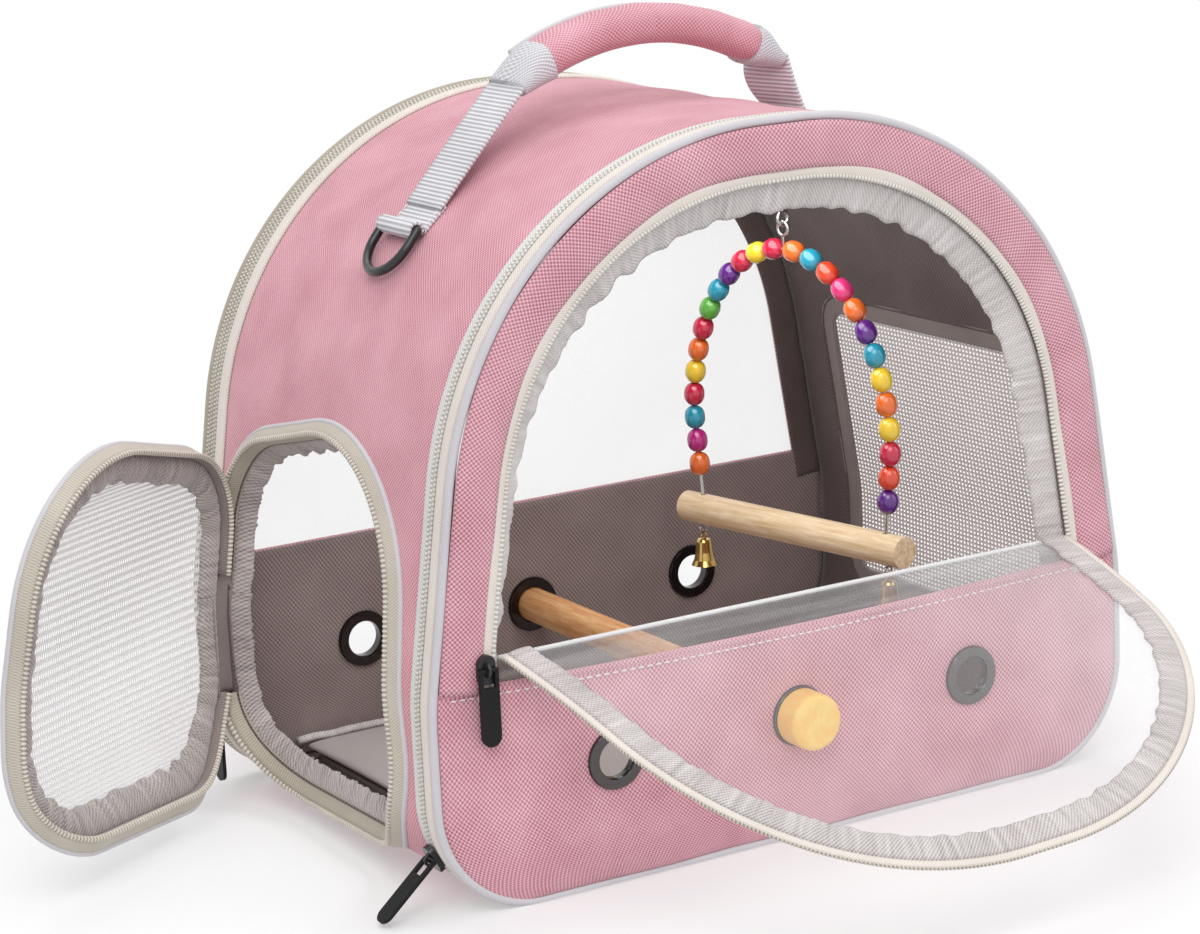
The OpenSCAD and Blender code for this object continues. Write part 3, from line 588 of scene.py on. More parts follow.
def netting(name, colour, pitch, hole, tall):
    """Knitted mesh with round holes in a staggered grid; tall stretches its rows."""
    f = Finish(name, roughness=0.6, sheen_weight=0.2)
    u, v = f.weave()
    holes = (u * (TAU / pitch)).sine() * (v * (TAU / pitch / tall)).sine()
    f.feed("Alpha", holes.size() < hole)
    tone = f.noise(f.place(), 0.05, 2.0)
    f.feed("Base Color", f.mix(tone, paint(*colour), toned(paint(*colour), 1.12)))
    f.relief(1 - holes.size(), 0.25)
    return f.material


def clear(name, colour, alpha, edge, rough=0.12, painted_reflection=0.0):
    """Soft clear film, paler where it is seen along its face, with a painted reflection that whitens it
    towards its right end.
    """
    f = Finish(name, roughness=rough, base_color=paint(*colour), specular_ior_level=0.4)
    facing = f.node("LayerWeight", None, Blend=0.35, out="Facing")
    haze = f.noise(f.place(), 0.02, 2.0)
    # Painted reflection: the film turns more opaque and white towards its right end
    painted_reflection_share = f.node("MapRange", {"interpolation_type": "SMOOTHSTEP"}, f.axes()[0], From_Min=10.0, From_Max=140.0)
    f.feed("Alpha", alpha + edge * facing ** 2.0 + (haze - 0.5) * 0.06 + painted_reflection_share * painted_reflection)
    f.feed("Roughness", rough + haze * 0.1)
    f.relief(f.noise(f.place(), 0.02, 1.0), 1.2, 0.4)
    return f.material


def folded_film(name):
    """Clear film where it doubles over: grey streaks of painted reflection below a white painted highlight
    along its crest.
    """
    f = Finish(name, roughness=0.3, specular_ior_level=0.4)
    x, y, z = f.axes()
    streak = f.noise(f.node("CombineXYZ", None, x * 0.012, y * 0.02, z * 0.22), 1.0, 3.0, 0.6)
    share = f.node("MapRange", None, streak, From_Min=0.38, From_Max=0.66)
    painted_crest_highlight = f.node("MapRange", None, z, From_Min=101.8, From_Max=104.6)
    # Painted light: the streaks run from dark grey to white as reflections, and the crest turns white as a
    # highlight
    pale = f.maths("MAXIMUM", share * 0.55, painted_crest_highlight)
    f.feed("Base Color", f.mix(pale, paint(44, 41, 43), paint(250, 250, 250)))
    f.feed("Alpha", share * 0.08 + painted_crest_highlight * 0.4 + 0.16)
    f.relief(streak, 1.5, 0.5)
    return f.material


def metal(name, colour, rough, worn, metallic=1.0):
    f = Finish(name, metallic=metallic, coat_weight=0.3, coat_roughness=0.15)
    rub = f.noise(f.place(), 0.6, 4.0)
    f.feed("Base Color", f.mix(rub, toned(colour, 0.75), (*colour, 1.0)))
    f.feed("Roughness", rough + (rub - 0.5) * worn)
    f.relief(f.noise(f.place(), 2.5, 2.0), 0.02, 0.4)
    return f.material


def enamel(name, colour):
    """Glossy paint on a turned wooden bead."""
    f = Finish(name, coat_weight=0.7, coat_roughness=0.06)
    tone = f.noise(f.place(), 0.35, 3.0)
    f.feed("Base Color", f.mix(tone, toned(colour, 0.82), colour))
    f.feed("Roughness", 0.22 + (tone - 0.5) * 0.1)
    f.relief(f.noise(f.place(), 0.8, 2.0), 0.08, 0.5)
    return f.material


def timber(name, deep, pale, grain, stretch, turn=0.0, rough=0.5):
    """Straight-grained wood, the grain along the piece."""
    f = Finish(name, specular_ior_level=0.4, coat_weight=0.12, coat_roughness=0.4)
    laid = f.node("Mapping", {"vector_type": "TEXTURE"}, f.place(), Rotation=(0, 0, turn), Scale=stretch)
    rings = f.noise(laid, grain, 5.0, 0.62)
    fibre = f.noise(laid, grain * 6, 3.0, 0.6)
    share = f.node("MapRange", None, rings * 0.75 + fibre * 0.25, From_Min=0.34, From_Max=0.66)
    f.feed("Base Color", f.mix(share, paint(*deep), paint(*pale)))
    f.feed("Roughness", rough + (fibre - 0.5) * 0.25)
    f.relief(fibre, 0.08, 0.6)
    return f.material


def moulded(name, colour, rough, gloss=0.5):
    f = Finish(name, specular_ior_level=gloss)
    tone = f.noise(f.place(), 0.25, 3.0)
    f.feed("Base Color", f.mix(tone, colour, toned(colour, 1.5, 0.002)))
    f.feed("Roughness", rough + (tone - 0.5) * 0.2)
    f.relief(f.noise(f.place(), 3.0, 2.0), 0.03, 0.5)
    return f.material


# Cloth of the shell, the handle and the pad
pink = woven("pink oxford", (176, 94, 110), (255, 200, 210), 0.2, mottle=0.18)
pink_face = woven("pink oxford of the front", (168, 88, 106), (255, 208, 218), 0.26, pitch=2.0, mottle=0.12)
pink_grip = woven("pink cover of the grip", (168, 84, 102), (255, 200, 210), 0.24, mottle=0.15)
taupe = woven("taupe lining", (106, 91, 88), (184, 166, 162), 0.14, "twill", sheen=0.4)
# Painted shade: the same taupe lining, made darker where the walls lie under the roof
taupe_painted_shade = woven("taupe lining of the walls in painted shade", (72, 60, 58), (128, 113, 110), 0.14, "twill")
taupe_edge = woven("taupe edge", (118, 106, 104), (168, 154, 150), 0.1, pitch=1.2, sheen=0.4)
webbing = woven("grey webbing", (170, 168, 173), (252, 251, 254), 0.3, "rib", rough=0.75)
webbing_fold = woven("folded webbing", (166, 164, 170), (250, 249, 252), 0.3, "twill", rough=0.75)
piping_grey = woven("lavender grey piping", (196, 193, 197), (225, 222, 226), 0.06, pitch=1.0, rough=0.6,
                    mottle=0.5)
thread = plain_cloth("white thread", (232, 228, 228), (255, 253, 253), 0.5, 0.05)
pad_cloth = plain_cloth("pad cover", (168, 158, 156), (206, 198, 196), 1.4, 0.12)

# Gathered bindings, with painted shade in their folds
gather = woven("gathered grey binding", (178, 168, 166), (255, 250, 248), 0.2, "twill", sheen=0.5,
               wrinkle=0.9)
gather_dark = woven("gathered door binding", (108, 98, 96), (220, 210, 207), 0.2, "twill", sheen=0.5,
                    wrinkle=0.8)
ribbon = woven("grey ribbon", (146, 136, 135), (246, 239, 236), 0.2, "twill", sheen=0.4, wrinkle=0.3)

# Zips
tape_cream = woven("cream tape", (213, 203, 193), (250, 242, 233), 0.12, "twill", pitch=1.3)
tape_pale = woven("pale edge of the zip tape", (196, 194, 188), (250, 248, 244), 0.12, "herring", pitch=1.6)
tape_olive = woven("stone tape", (156, 147, 132), (204, 196, 180), 0.12, "twill", pitch=1.2)
tape_stone = woven("warm stone tape", (172, 163, 148), (222, 214, 200), 0.12, "twill", pitch=1.2)
# The tape under the coils is real; its dark ribbing is painted shade in the gaps beside the coils
coil_gap_painted_shade = woven("zip tape under the coil in painted shade", (92, 86, 80), (196, 190, 180), 0.1, "rib")
coil_pale = woven("pale zip coil", (176, 170, 162), (250, 247, 240), 0.1, "rib", rough=0.45, sheen=0.0)
coil_stone = woven("stone zip coil", (148, 140, 127), (238, 231, 218), 0.1, "rib", rough=0.45, sheen=0.0)
black = moulded("black pulls", (0.004, 0.004, 0.0045, 1.0), 0.45, 0.25)
black_metal = metal("black enamelled wire", (0.02, 0.02, 0.022), 0.3, 0.1, metallic=0.3)

# Meshes and films
net_right = netting("white mesh", (228, 219, 217), 5.2, 0.7, 0.8)
net_door = netting("door mesh", (250, 248, 246), 3.2, 0.64, 1.6)
# The front film takes a painted reflection towards its right end
film = clear("clear film", (236, 234, 234), 0.11, 0.4, rough=0.3, painted_reflection=0.18)
film_crest = folded_film("folded clear film with painted highlight and reflections")
film_rear = clear("clear rear film", (246, 246, 246), 0.10, 0.3)

# Hardware and wood
bronze = metal("dark bronze eyelet", (0.055, 0.048, 0.046), 0.26, 0.1)
gunmetal = metal("gunmetal eyelet", (0.105, 0.097, 0.095), 0.2, 0.08)
steel = metal("bright wire", (0.62, 0.61, 0.60), 0.28, 0.1)
brass = metal("bell brass", (0.72, 0.50, 0.15), 0.2, 0.08)
board = moulded("grey board", paint(150, 142, 138), 0.7)
dowel_wood = timber("pale dowel", (214, 176, 130), (250, 230, 196), 0.55, (14.0, 1.0, 1.0),
                    turn=math.atan2(SWING_ALONG[1], SWING_ALONG[0]))
perch_wood = timber("warm perch wood", (214, 132, 70), (255, 210, 152), 0.40, (1.0, 14.0, 1.0))
knob_wood = timber("honey knob", (255, 198, 92), (255, 222, 128), 0.16, (1.0, 4.0, 1.0), rough=0.42)


# The record's slot for each finish
SLOTS = {
    "pink_fabric": (pink, pink_face, pink_grip), "lining": (taupe, taupe_painted_shade),
    "grey_binding": (gather, gather_dark, ribbon, piping_grey, thread),
    "zip_fabric": (tape_cream, tape_pale, tape_olive, tape_stone, coil_gap_painted_shade, coil_pale, coil_stone),
    "webbing": (webbing, webbing_fold), "mesh": (net_right, net_door),
    "clear_film": (film, film_crest, film_rear), "pad": (pad_cloth,),
}
SLOT_OF = {material.name: slot for slot, materials in SLOTS.items() for material in materials}


def dress(piece, material, body, *nodes, slot=None):
    """Gives a piece its finish and its body, and hides the solids it stands for; its slot, given or found
    from the finish, is not kept.
    """
    piece.data.materials.clear()
    piece.data.materials.append(material)
    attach(piece, body)
    if nodes:
        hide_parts(*nodes)
    slot or SLOT_OF[material.name]
    return piece


# Shell ----------------------------------------------------------------------

LAP = shell.length
BAND0, BAND1, BAND_H = -92.4, 91.0, -0.9
LINING_DEPTH, LINING_H = 220.0, -2.5
s_right = shell.s_at(FRONT_TOP, True)
s_left = shell.s_at(FRONT_TOP, False)
ARCH = s_left - s_right


def inside_outline(line, inset, a, z):
    """How far a point lies inside an outline, in its own plane; negative is outside."""
    best = np.full(len(a), 1e9)
    for (px, pz), (nx, nz) in zip(line.drawn_in(inset), line.normals):
        best = np.minimum(best, (px - a) * nx + (pz - z) * nz)
    return best


def nearest_on(line, inset, a, z):
    pts = line.drawn_in(inset)
    dense = np.concatenate([np.linspace(p, q, 12, endpoint=False) for p, q in zip(pts[:-1], pts[1:])])
    d = (dense[None, :, 0] - a[:, None]) ** 2 + (dense[None, :, 1] - z[:, None]) ** 2
    return dense[np.argmin(d, 1)]


def from_hinge(y):
    """The door's outline is measured forwards from its hinge."""
    return HINGE_Y - y


def from_middle(y):
    """The mesh window's outline is measured from the middle of the wall."""
    return y


def wall_hole(line, across, inset, h, side):
    """What an outline cuts from a side wall, and where the edge of the cut goes."""
    def inside(co):
        beside = co[:, 0] * side > 100
        return (inside_outline(line, inset, across(co[:, 1]), co[:, 2]) > 0) & beside

    def onto(co):
        near = nearest_on(line, inset, across(co[:, 1]), co[:, 2])
        return wall(across(near[:, 0]), near[:, 1], h, side=side)

    return inside, onto


def holes(h, door_inset, mesh_inset):
    """Cuts the door's and the mesh window's openings into a band of cloth."""
    def cut(piece):
        cut_away(piece, *wall_hole(door, from_hinge, door_inset, h, -1))
        cut_away(piece, *wall_hole(mesh_line, from_middle, mesh_inset, h, 1))

    return cut


def band_cloth(u, v):
    """A little slack between its tucked edges, and flat where the carrier stands."""
    s = LAP * u
    y = BAND0 + (BAND1 - BAND0) * v
    tuck = np.minimum(v, 1 - v)
    soft = 0.5 * waves(s, 170, 4) * np.sin(np.pi * v) + 0.35 * waves(s + y * 1.7, 90, 9) * np.sin(np.pi * v)
    flat = np.clip((shell.at(s)[1] - 4) / 20, 0, 1)
    return on_rim(s, y, BAND_H + flat * (soft - 0.5 * np.exp(-tuck / 0.02)))


dress(cloth("band_cover", 330, 58, band_cloth, (LAP, BAND1 - BAND0), loop=True, thick=1.5,
            cut=holes(BAND_H, -6.5, 0.6)),
      pink, "shell", "band_fabric")


def lining_cloth(u, v):
    s = LAP * u
    y = -LINING_DEPTH / 2 + LINING_DEPTH * v
    return on_rim(s, y, LINING_H + 0.25 * waves(s + v * 300, 60, 12))


# The walls' lining is drawn in the darker taupe, as painted shade
dress(cloth("band_lining_cloth", 260, 60, lining_cloth, (LAP, LINING_DEPTH), loop=True, thick=1.0,
            cut=holes(LINING_H, -0.6, 0.6)),
      taupe_painted_shade, "shell", "band_lining")


def rim_band(name, y0, y1, h, thick, material, *nodes, crown=0.0):
    """A strip of a rim's zip, all the way round."""
    strip = band(name, on_rim, 0, LAP, y0, y1, h, thick=thick, crown=crown, loop=True)
    dress(strip, material, "shell", *nodes)


def rim_coils(rim, rows, r, material):
    """Closed zips: rows in pairs, the second of each pair half a turn further on."""
    for i, y in enumerate(rows):
        start = i % 2 * COIL_PITCH / 2
        row = coil(f"{rim}_coil_{i + 1}", on_rim, start, LAP + start, y, -0.3, r, depth=0.35, loop=True)
        dress(row, material, "shell")


# Front rim, from the face back: piping, a dark strip of painted shadow, crowned cream tape, closed zip, edge
# of its tape
dress(cord("front_piping_cord", on_rim, 0, LAP, -110.85, -0.1, 1.8, loop=True, wander=0.15),
      piping_grey, "shell", "front_piping")
rim_band("front_rim_tape", -107.5, -101.0, -0.5, 1.2, tape_cream, "front_rim_zip", crown=1.0)
# Painted shadow: a dark strip where the piping shades the tape
rim_band("front_rim_painted_shadow", -109.4, -106.9, -0.9, 0.5, coil_gap_painted_shade)
# The base under the coils is darkened as painted shade
rim_band("front_rim_base", -101.8, -93.6, -1.3, 0.8, coil_gap_painted_shade)
rim_band("front_rim_edge", -95.6, -92.0, -0.7, 1.0, tape_pale, crown=0.3)
rim_coils("front_rim", (-99.0, -97.2), 0.98, coil_pale)

# Rear rim: crowned tape, two closed zips, stone edge
rim_band("rear_rim_tape", 90.6, 98.6, -0.4, 1.2, tape_cream, "rear_rim_zip", crown=1.0)
# The base under the coils is darkened as painted shade
rim_band("rear_rim_base", 98.2, 110.6, -1.3, 0.8, coil_gap_painted_shade)
rim_coils("rear_rim", (100.4, 102.2, 105.2, 107.0), 1.0, coil_stone)
dress(cord("rear_edge_piping", on_rim, 0, LAP, 110.0, -0.9, 1.9, loop=True), tape_olive, "shell")


# Front and rear faces ---------------------------------------------------------

def face_arch(track, inset0, inset1, seed):
    def place(u, v):
        s = s_right + ARCH * u
        lift = 0.1 + 1.3 * np.sin(np.pi * v) ** 0.7 + 0.35 * waves(s, 120, seed)
        return track(s, inset0 + (inset1 - inset0) * v, lift)
    return place


dress(cloth("front_arch_cover", 230, 8, face_arch(on_front, 1.8, 20.4, 21), (ARCH, 18), thick=1.5),
      pink_face, "shell", "front_arch")
dress(cloth("rear_arch_cover", 230, 6, face_arch(on_back, 1.8, 15.4, 23), (ARCH, 13), thick=1.5),
      pink, "shell", "rear_arch")


def grommet_distance(x, z):
    """How far a point on a face is from the middle of the nearest grommet."""
    return np.min([np.hypot(x - middle, z - GROMMET_Z) for middle in GROMMET_X], axis=0)


def grommet_holes(piece):
    cut_away(piece, lambda co: grommet_distance(co[:, 0], co[:, 2]) < GROMMET_HOLE)


def front_edge(x):
    """Height of the front panel's top edge, which sags between its ends."""
    return FRONT_TOP - FRONT_SAG * (1 - (x / FRONT_HALF) ** 2)


def rear_edge(x):
    return REAR_TOP + 0 * x


def face_panel(name, cells, y, out, edge, top, bulge, seed, thick):
    """A panel below a window: out is the way it bulges, edge its distance from the rim."""
    def place(u, v):
        across = (2 * u - 1) * (half_width(FRONT_TOP) - edge)
        z = edge + (top(across) - edge) * (1 - np.cos(v * np.pi / 2)) ** 0.75
        x = (2 * u - 1) * (half_width(np.maximum(z, 1.0)) - edge)
        flat_to, eases_over = 12, 14
        calm = np.clip((grommet_distance(x, z) - flat_to) / eases_over, 0, 1)
        rise = bulge * np.sin(np.pi * u) ** 0.5 * np.sin(np.pi * np.clip(z / top(across), 0, 1)) * calm
        rise = rise + 0.5 * waves(x * 1.3 + z * 2, 110, seed) * calm * np.sin(np.pi * u) ** 0.4
        return np.stack([x, y + out * rise, z], 1)
    return cloth(name, *cells, place, (335, 93), thick=thick, cut=grommet_holes)


dress(face_panel("front_panel_cover", (136, 46), -111.1, -1, 1.8, front_edge, 1.6, 31, 1.7),
      pink_face, "shell", "front_panel")
dress(face_panel("rear_panel_cover", (136, 46), 111.1, 1, 1.8, rear_edge, 1.6, 33, 1.7),
      pink, "shell", "rear_panel")
dress(face_panel("rear_lining_low", (130, 40), 109.5, -1, 4.2, rear_edge, 0.3, 35, 1.0),
      taupe, "shell", "rear_lining")
# The arch of the rear lining takes the darker taupe, as painted shade
dress(band("rear_lining_arch", on_back, s_right - 4, s_left + 4, 3.6, REAR_WINDOW + 2, -2.6, thick=1.0,
           across=6),
      taupe_painted_shade, "shell")


def folded_edge(name, y, top, material):
    """The folded top edge of a panel."""
    def place(u, v):
        x = (2 * u - 1) * (half_width(FRONT_TOP) - 2.4)
        a = TAU * v
        return np.stack([x, y + 1.15 * np.cos(a), top(x) - 1.0 + 1.6 * np.sin(a)], 1)
    dress(cloth(name, 90, 10, place, (332, 9), tube=True), material, "shell")


folded_edge("front_panel_fold", -111.2, front_edge, pink_face)
folded_edge("rear_panel_fold", 111.2, rear_edge, pink)


def window_sheet(y, inset, low, bow):
    """A sheet that fills the arched window, laid out in rows."""
    def place(u, v):
        top = HEIGHT - inset
        z = low + (top - 0.05 - low) * (1 - (1 - v) ** 1.8)
        pts = shell.drawn_in(inset)
        half = np.maximum(-across_at(pts[pts[:, 0] <= 0], z), 3.0)
        sag = bow * np.sin(np.pi * u) * np.sin(np.pi * v)
        return np.stack([(2 * u - 1) * half, y + sag, z], 1)
    return place


rear_sheet = window_sheet(109.9, REAR_WINDOW - 1, REAR_TOP - 3, 1.0)
rear_film = dress(cloth("rear_film", 40, 34, rear_sheet, (300, 188), thick=0.4),
                  film_rear, "shell", "rear_window")

# Window zip on the shell, and the gathered binding behind it, which narrows towards its ends
window0, window1 = s_right + 1.5, s_left - 1.5


def window_gather_width(u):
    return 0.72 + 0.28 * np.sin(np.pi * u) - 0.34 * u ** 4


dress(band("window_tape", on_front, window0 - 6, window1 + 6, 19.4, 24.2, 0.2, crown=0.3),
      tape_cream, "shell", "window_zip")
dress(coil("window_coil", on_front, window0, window1, 24.3, 0.5, 1.25), coil_pale, "shell")
dress(band("window_gather", on_front, window0 - 4, window1 + 4, 24.6, 38.2, -2.6, -8.6, thick=0.7, steps=1.3,
           across=8, crown=0.6, pucker=1.1, seed=41, shape=window_gather_width),
      gather, "shell", "window_binding")


# Film fold and flap -------------------------------------------------------------

def fold_film(u, v):
    """The film rises from behind the panel and rolls over at the fold."""
    low, straight, roll, r = 88.5, 1.2, 1.8, 1.05
    x = (2 * u - 1) * (half_width(FOLD_Z) - WINDOW - 1.0)
    t = v * (straight + roll)
    a = np.clip((t - straight) / roll, 0, 1) * math.radians(195)
    z = np.where(t < straight, low + (FOLD_Z - low) * t / straight, FOLD_Z + r * np.sin(a))
    behind_panel = np.clip((99.0 - z) / 6.0, 0, 1)
    y = np.where(t < straight, FOLD_Y + r + 2.6 * behind_panel, FOLD_Y + r * np.cos(a))
    return np.stack([x, y, z], 1)


# The crest's film carries a painted highlight and painted reflections
dress(cloth("film_crest", 60, 14, fold_film, (280, 18), thick=0.3), film_crest, "shell", "film_fold")

flap_low = FOLD_Z + 1.4
flap0 = shell.s_at(flap_low + 4.2, True)
flap1 = shell.s_at(flap_low + 4.2, False)


def flap_sheet(u, v):
    return opened_flap(window_sheet(FACE + 0.2, WINDOW + 8, flap_low, -1.2)(u, v))


flap_film = dress(cloth("flap_sheet", 46, 36, flap_sheet, (266, 160)), film, "flap", "flap_film")
flap_ribbon = dress(band("flap_ribbon", on_flap, flap0, flap1, 29.6, 40.6, -1.2, thick=0.7, steps=1.4,
                         across=7, crown=-0.7, pucker=-0.6, seed=43),
                    ribbon, "flap", "flap_binding")
flap_tape = dress(band("flap_tape", on_flap, flap0, flap1, 26.6, 30.2, -0.9), tape_cream, "flap", "flap_zip")
flap_coil = dress(coil("flap_coil", on_flap, flap0, flap1, 27.3, -0.3, 1.2), coil_stone, "flap")


# Side door ----------------------------------------------------------------------

# Lengths along the door's outline: a full lap, and the zips' ends below and above the hinge strip
DOOR = door.length
zip0, zip1 = 44.5, DOOR - 9.0

# The edge of the opening stands out of the wall: tape, piping, coil, inner tape, gathered binding
dress(band("opening_tape", on_frame, zip0, zip1, -7.8, -3.6, 0.2, 3.9, thick=0.9, crown=0.4, across=5),
      tape_stone, "shell", "door_frame_zip")
dress(cord("opening_piping", on_frame, 0, DOOR, -8.0, 0.3, 1.2, loop=True), piping_grey, "shell")
dress(coil("opening_coil", on_frame, zip0, zip1, -2.9, 4.3, 1.35), coil_stone, "shell")
dress(band("opening_inner_tape", on_frame, zip0, zip1, -2.2, -0.8, 3.6, -4.2), tape_olive, "shell")
dress(band("opening_gather", on_frame, 0, DOOR, -1.2, 3.4, -3.8, -11.5, steps=1.1, across=8, crown=1.2,
           pucker=1.3, seed=47, loop=True),
      gather_dark, "shell")

# The door's edge is as deep: piping outside, tape, coil on the inner side, gathered binding
dress(cord("door_piping", on_door, zip0, zip1, -0.2, 6.2, 1.5), piping_grey, "side_door")
dress(band("door_tape", on_door, zip0, zip1, -0.6, 0.7, 5.6, -1.2, thick=1.0, crown=-0.5),
      tape_stone, "side_door")
dress(coil("door_coil", on_door, zip0, zip1, 1.2, -1.9, 1.35), coil_stone, "side_door", "door_zip")
dress(band("door_inner_tape", on_door, zip0, zip1, 1.9, 3.6, -1.2, 4.6),
      taupe_edge, "side_door", slot="zip_fabric")
dress(band("door_gather", on_door, 0, DOOR, 3.0, 14.6, 3.8, 5.0, thick=1.0, steps=1.1, across=8, crown=-3.0,
           pucker=-1.3, seed=53, loop=True),
      gather_dark, "side_door", "door_binding")


def door_pane(u, v):
    """The door's mesh, laid out in rows from its hinge side to its free side."""
    inset, middle = 12.5, 76
    pts = door.drawn_in(inset)
    low, high = pts[:, 1].min(), pts[:, 1].max()
    z = low + (high - low) * (0.5 - 0.5 * np.cos(np.pi * np.clip(v, 0.002, 0.998)))
    near_side = pts[:, 0] < middle
    near, far = across_at(pts[near_side], z), across_at(pts[~near_side], z)
    w = near + (far - near) * u
    return opened_door(wall(HINGE_Y - w, z, 4.8 + 0.8 * np.sin(np.pi * u) * np.sin(np.pi * v)))


door_net = dress(cloth("door_net", 40, 44, door_pane, (132, 138)), net_door, "side_door", "door_mesh")


def hinge_cloth(u, v):
    """The strip bends from the wall round the hinge line to the door."""
    section = np.array([(-164.4, 80.4), (-167.6, 81.6), (-171.4, 82.6),
                        (-174.6, 81.6), (-176.4, 79.2), (-176.6, 76.4)])
    steps = range(len(section))
    t = v * (len(section) - 1)
    x = np.interp(t, steps, section[:, 0]) + 0.4 * np.sin(u * 9) * np.sin(np.pi * v)
    return np.stack([x, np.interp(t, steps, section[:, 1]), 49.5 + 54.0 * u], 1)


hinge = cloth("hinge_cloth", 26, 12, hinge_cloth, (54, 15), thick=0.8)
hinge.data.materials.append(taupe_edge)
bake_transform(hinge)
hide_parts("hinge_strip")


# Mesh window in the right wall ------------------------------------------------------

def right_pane(u, v):
    return wall(-78.5 + 157.0 * u, 45.0 + 132.0 * v, -1.4, side=1)


right_net = dress(cloth("right_net", 40, 30, right_pane, (157, 132)), net_right, "shell", "mesh_window")
dress(band("right_hem", on_right, 0, mesh_line.length, -1.0, 8.5, -2.2, thick=1.6, crown=0.4, across=5,
           steps=2.5, loop=True),
      taupe_edge, "shell", "mesh_binding", slot="lining")


# Floor pad ---------------------------------------------------------------------------

pad_low, pad_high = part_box("floor_pad")


def pad_body():
    """A soft block over the solid pad, whose top spreads towards its ends; sizes in metres."""
    size = pad_high - pad_low
    deselect()
    bpy.ops.mesh.primitive_cube_add(size=1, location=(pad_low + pad_high) / 2)
    pad = bpy.context.object
    pad.name = pad.data.name = "floor_cushion"
    bpy.ops.transform.resize(value=(size.x + 0.006, size.y - 0.004, size.z - 0.0015))
    bpy.ops.object.transform_apply(location=True, rotation=True, scale=True)
    finish_with(pad, "BEVEL", width=0.0032, segments=3)
    finish_with(pad, "REMESH", mode="VOXEL", voxel_size=0.0052)
    swell(pad, 3.0, 0.0018)
    finish_with(pad, "SUBSURF", levels=1, render_levels=1)
    co = corners(pad)
    co[:, 2] = np.clip(co[:, 2], pad_low.z + 0.0002, pad_high.z + 0.0012)
    raised = np.clip((co[:, 2] - pad_low.z) / size.z, 0, 1)
    co[:, 0] += 0.0100 * raised * (co[:, 0] / pad_high.x) ** 5
    put_corners(pad, co)
    smooth(pad)
    return pad


cushion = dress(pad_body(), pad_cloth, "floor_pad", "floor_pad")


def pad_edge(y, z):
    def place(u, v):
        a = TAU * v
        x = (2 * u - 1) * (pad_high.x * 1000 + 8.0)
        return np.stack([x, y + 2.2 * np.cos(a) + 0.4 * waves(x, 30, 71),
                         z + 1.8 * np.sin(a) + 0.3 * waves(x, 21, 73)], 1)
    return place


for end, y in (("front", pad_low.y * 1000 + 2.6), ("rear", pad_high.y * 1000 - 2.6)):
    binding = cloth(f"pad_binding_{end}", 120, 10, pad_edge(y, pad_high.z * 1000 - 1.2), (290, 12), tube=True)
    dress(binding, gather, "floor_pad", slot="pad")


# Handle --------------------------------------------------------------------------------

GRIP_R, GRIP_Z, GRIP_Y = 153.0, 183.0, -8.0


def grip_angle(u):
    """Angle along the padded grip, from its right end to its left."""
    return -22.5 + 44.5 * u


def grip_point(angle, side, out):
    """angle from the middle towards the left, in degrees; the soft grip sinks a little, most at its ends."""
    a = np.radians(90 + angle)
    r = GRIP_R + out - 4.0 - 4.0 * (angle / 24) ** 2
    return np.stack([r * np.cos(a), GRIP_Y + side + 0 * a, GRIP_Z + r * np.sin(a)], 1)


def grip_cover(u, v):
    a = TAU * v
    c, s = np.cos(a), np.sin(a)
    ends = np.clip(np.minimum(u, 1 - u) / 0.06, 0, 1) ** 0.5
    wide = 12.8 * (0.88 + 0.12 * ends)
    tall = np.where(s > 0, 7.6, 8.4) * (0.74 + 0.26 * ends)
    side = wide * np.sign(c) * np.abs(c) ** 0.75
    out = tall * np.sign(s) * np.abs(s) ** 0.85
    crease = 1.5 * np.exp(-((u - 0.49 - 0.012 * s) / 0.012) ** 2) * np.clip(-c - 0.2, 0, 1)
    return grip_point(grip_angle(u), side + crease, out + 0.25 * waves(u * 160, 30, 61) * (s > 0))


grip = cloth("grip_cover", 96, 28, grip_cover, (118, 66), tube=True)
swell(grip, 2.5, 0.0012)
dress(grip, pink_grip, "handle", "handle_grip")


def grip_piping(u, v):
    a = TAU * v
    side, out, r = 10.6, 6.2, 1.3
    return grip_point(grip_angle(u), side + r * np.cos(a), out + r * np.sin(a))


dress(cloth("grip_piping_back", 70, 8, grip_piping, (136, 8), tube=True), piping_grey, "handle")


def sleeve(name, turn, start):
    """Webbing folded round the end of the grip, flatter towards its free end."""
    def place(u, v):
        angle = turn * (start + (26.9 - start) * u)
        a = TAU * v
        c, s = np.cos(a), np.sin(a)
        flat = 1 - 0.6 * u ** 1.5
        side = (13.4 + 1.2 * u) * np.sign(c) * np.abs(c) ** 0.6
        out = 8.8 * flat * np.sign(s) * np.abs(s) ** 0.8
        return grip_point(angle, side, out - 0.5 * u + 0.3 * np.sin(a * 3 + u * 5))
    return dress(cloth(name, 12, 26, place, (17, 66), tube=True), webbing_fold, "handle")


left_sleeve = sleeve("left_sleeve_cover", 1, 19.6)
sleeve("right_sleeve_cover", -1, 21.6)
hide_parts("handle_sleeves")

ROOF, ROOF_R = np.array((-9.0, 150.0)), 151.1
WEB, WEB_TOP = 28.6, np.array((-64.7, 310.5))
# Angles on the roof's arc: where each webbing leaves its strap, and where both rings hang
LEFT_SEAM, RIGHT_SEAM, RING = 130.0, 115.0, 135.0


def round_point(middle, r, degrees):
    a = math.radians(degrees)
    return middle + r * np.array((math.cos(a), math.sin(a)))


def on_roof(degrees, h=0.0):
    """A point over the left half of the roof, in the plane of the rim."""
    return round_point(ROOF, ROOF_R + h, degrees)


def across_web(x, z, v):
    """A point across the webbing's width, which is centred on the grip."""
    return np.stack([x, GRIP_Y + (v - 0.5) * WEB, z], 1)


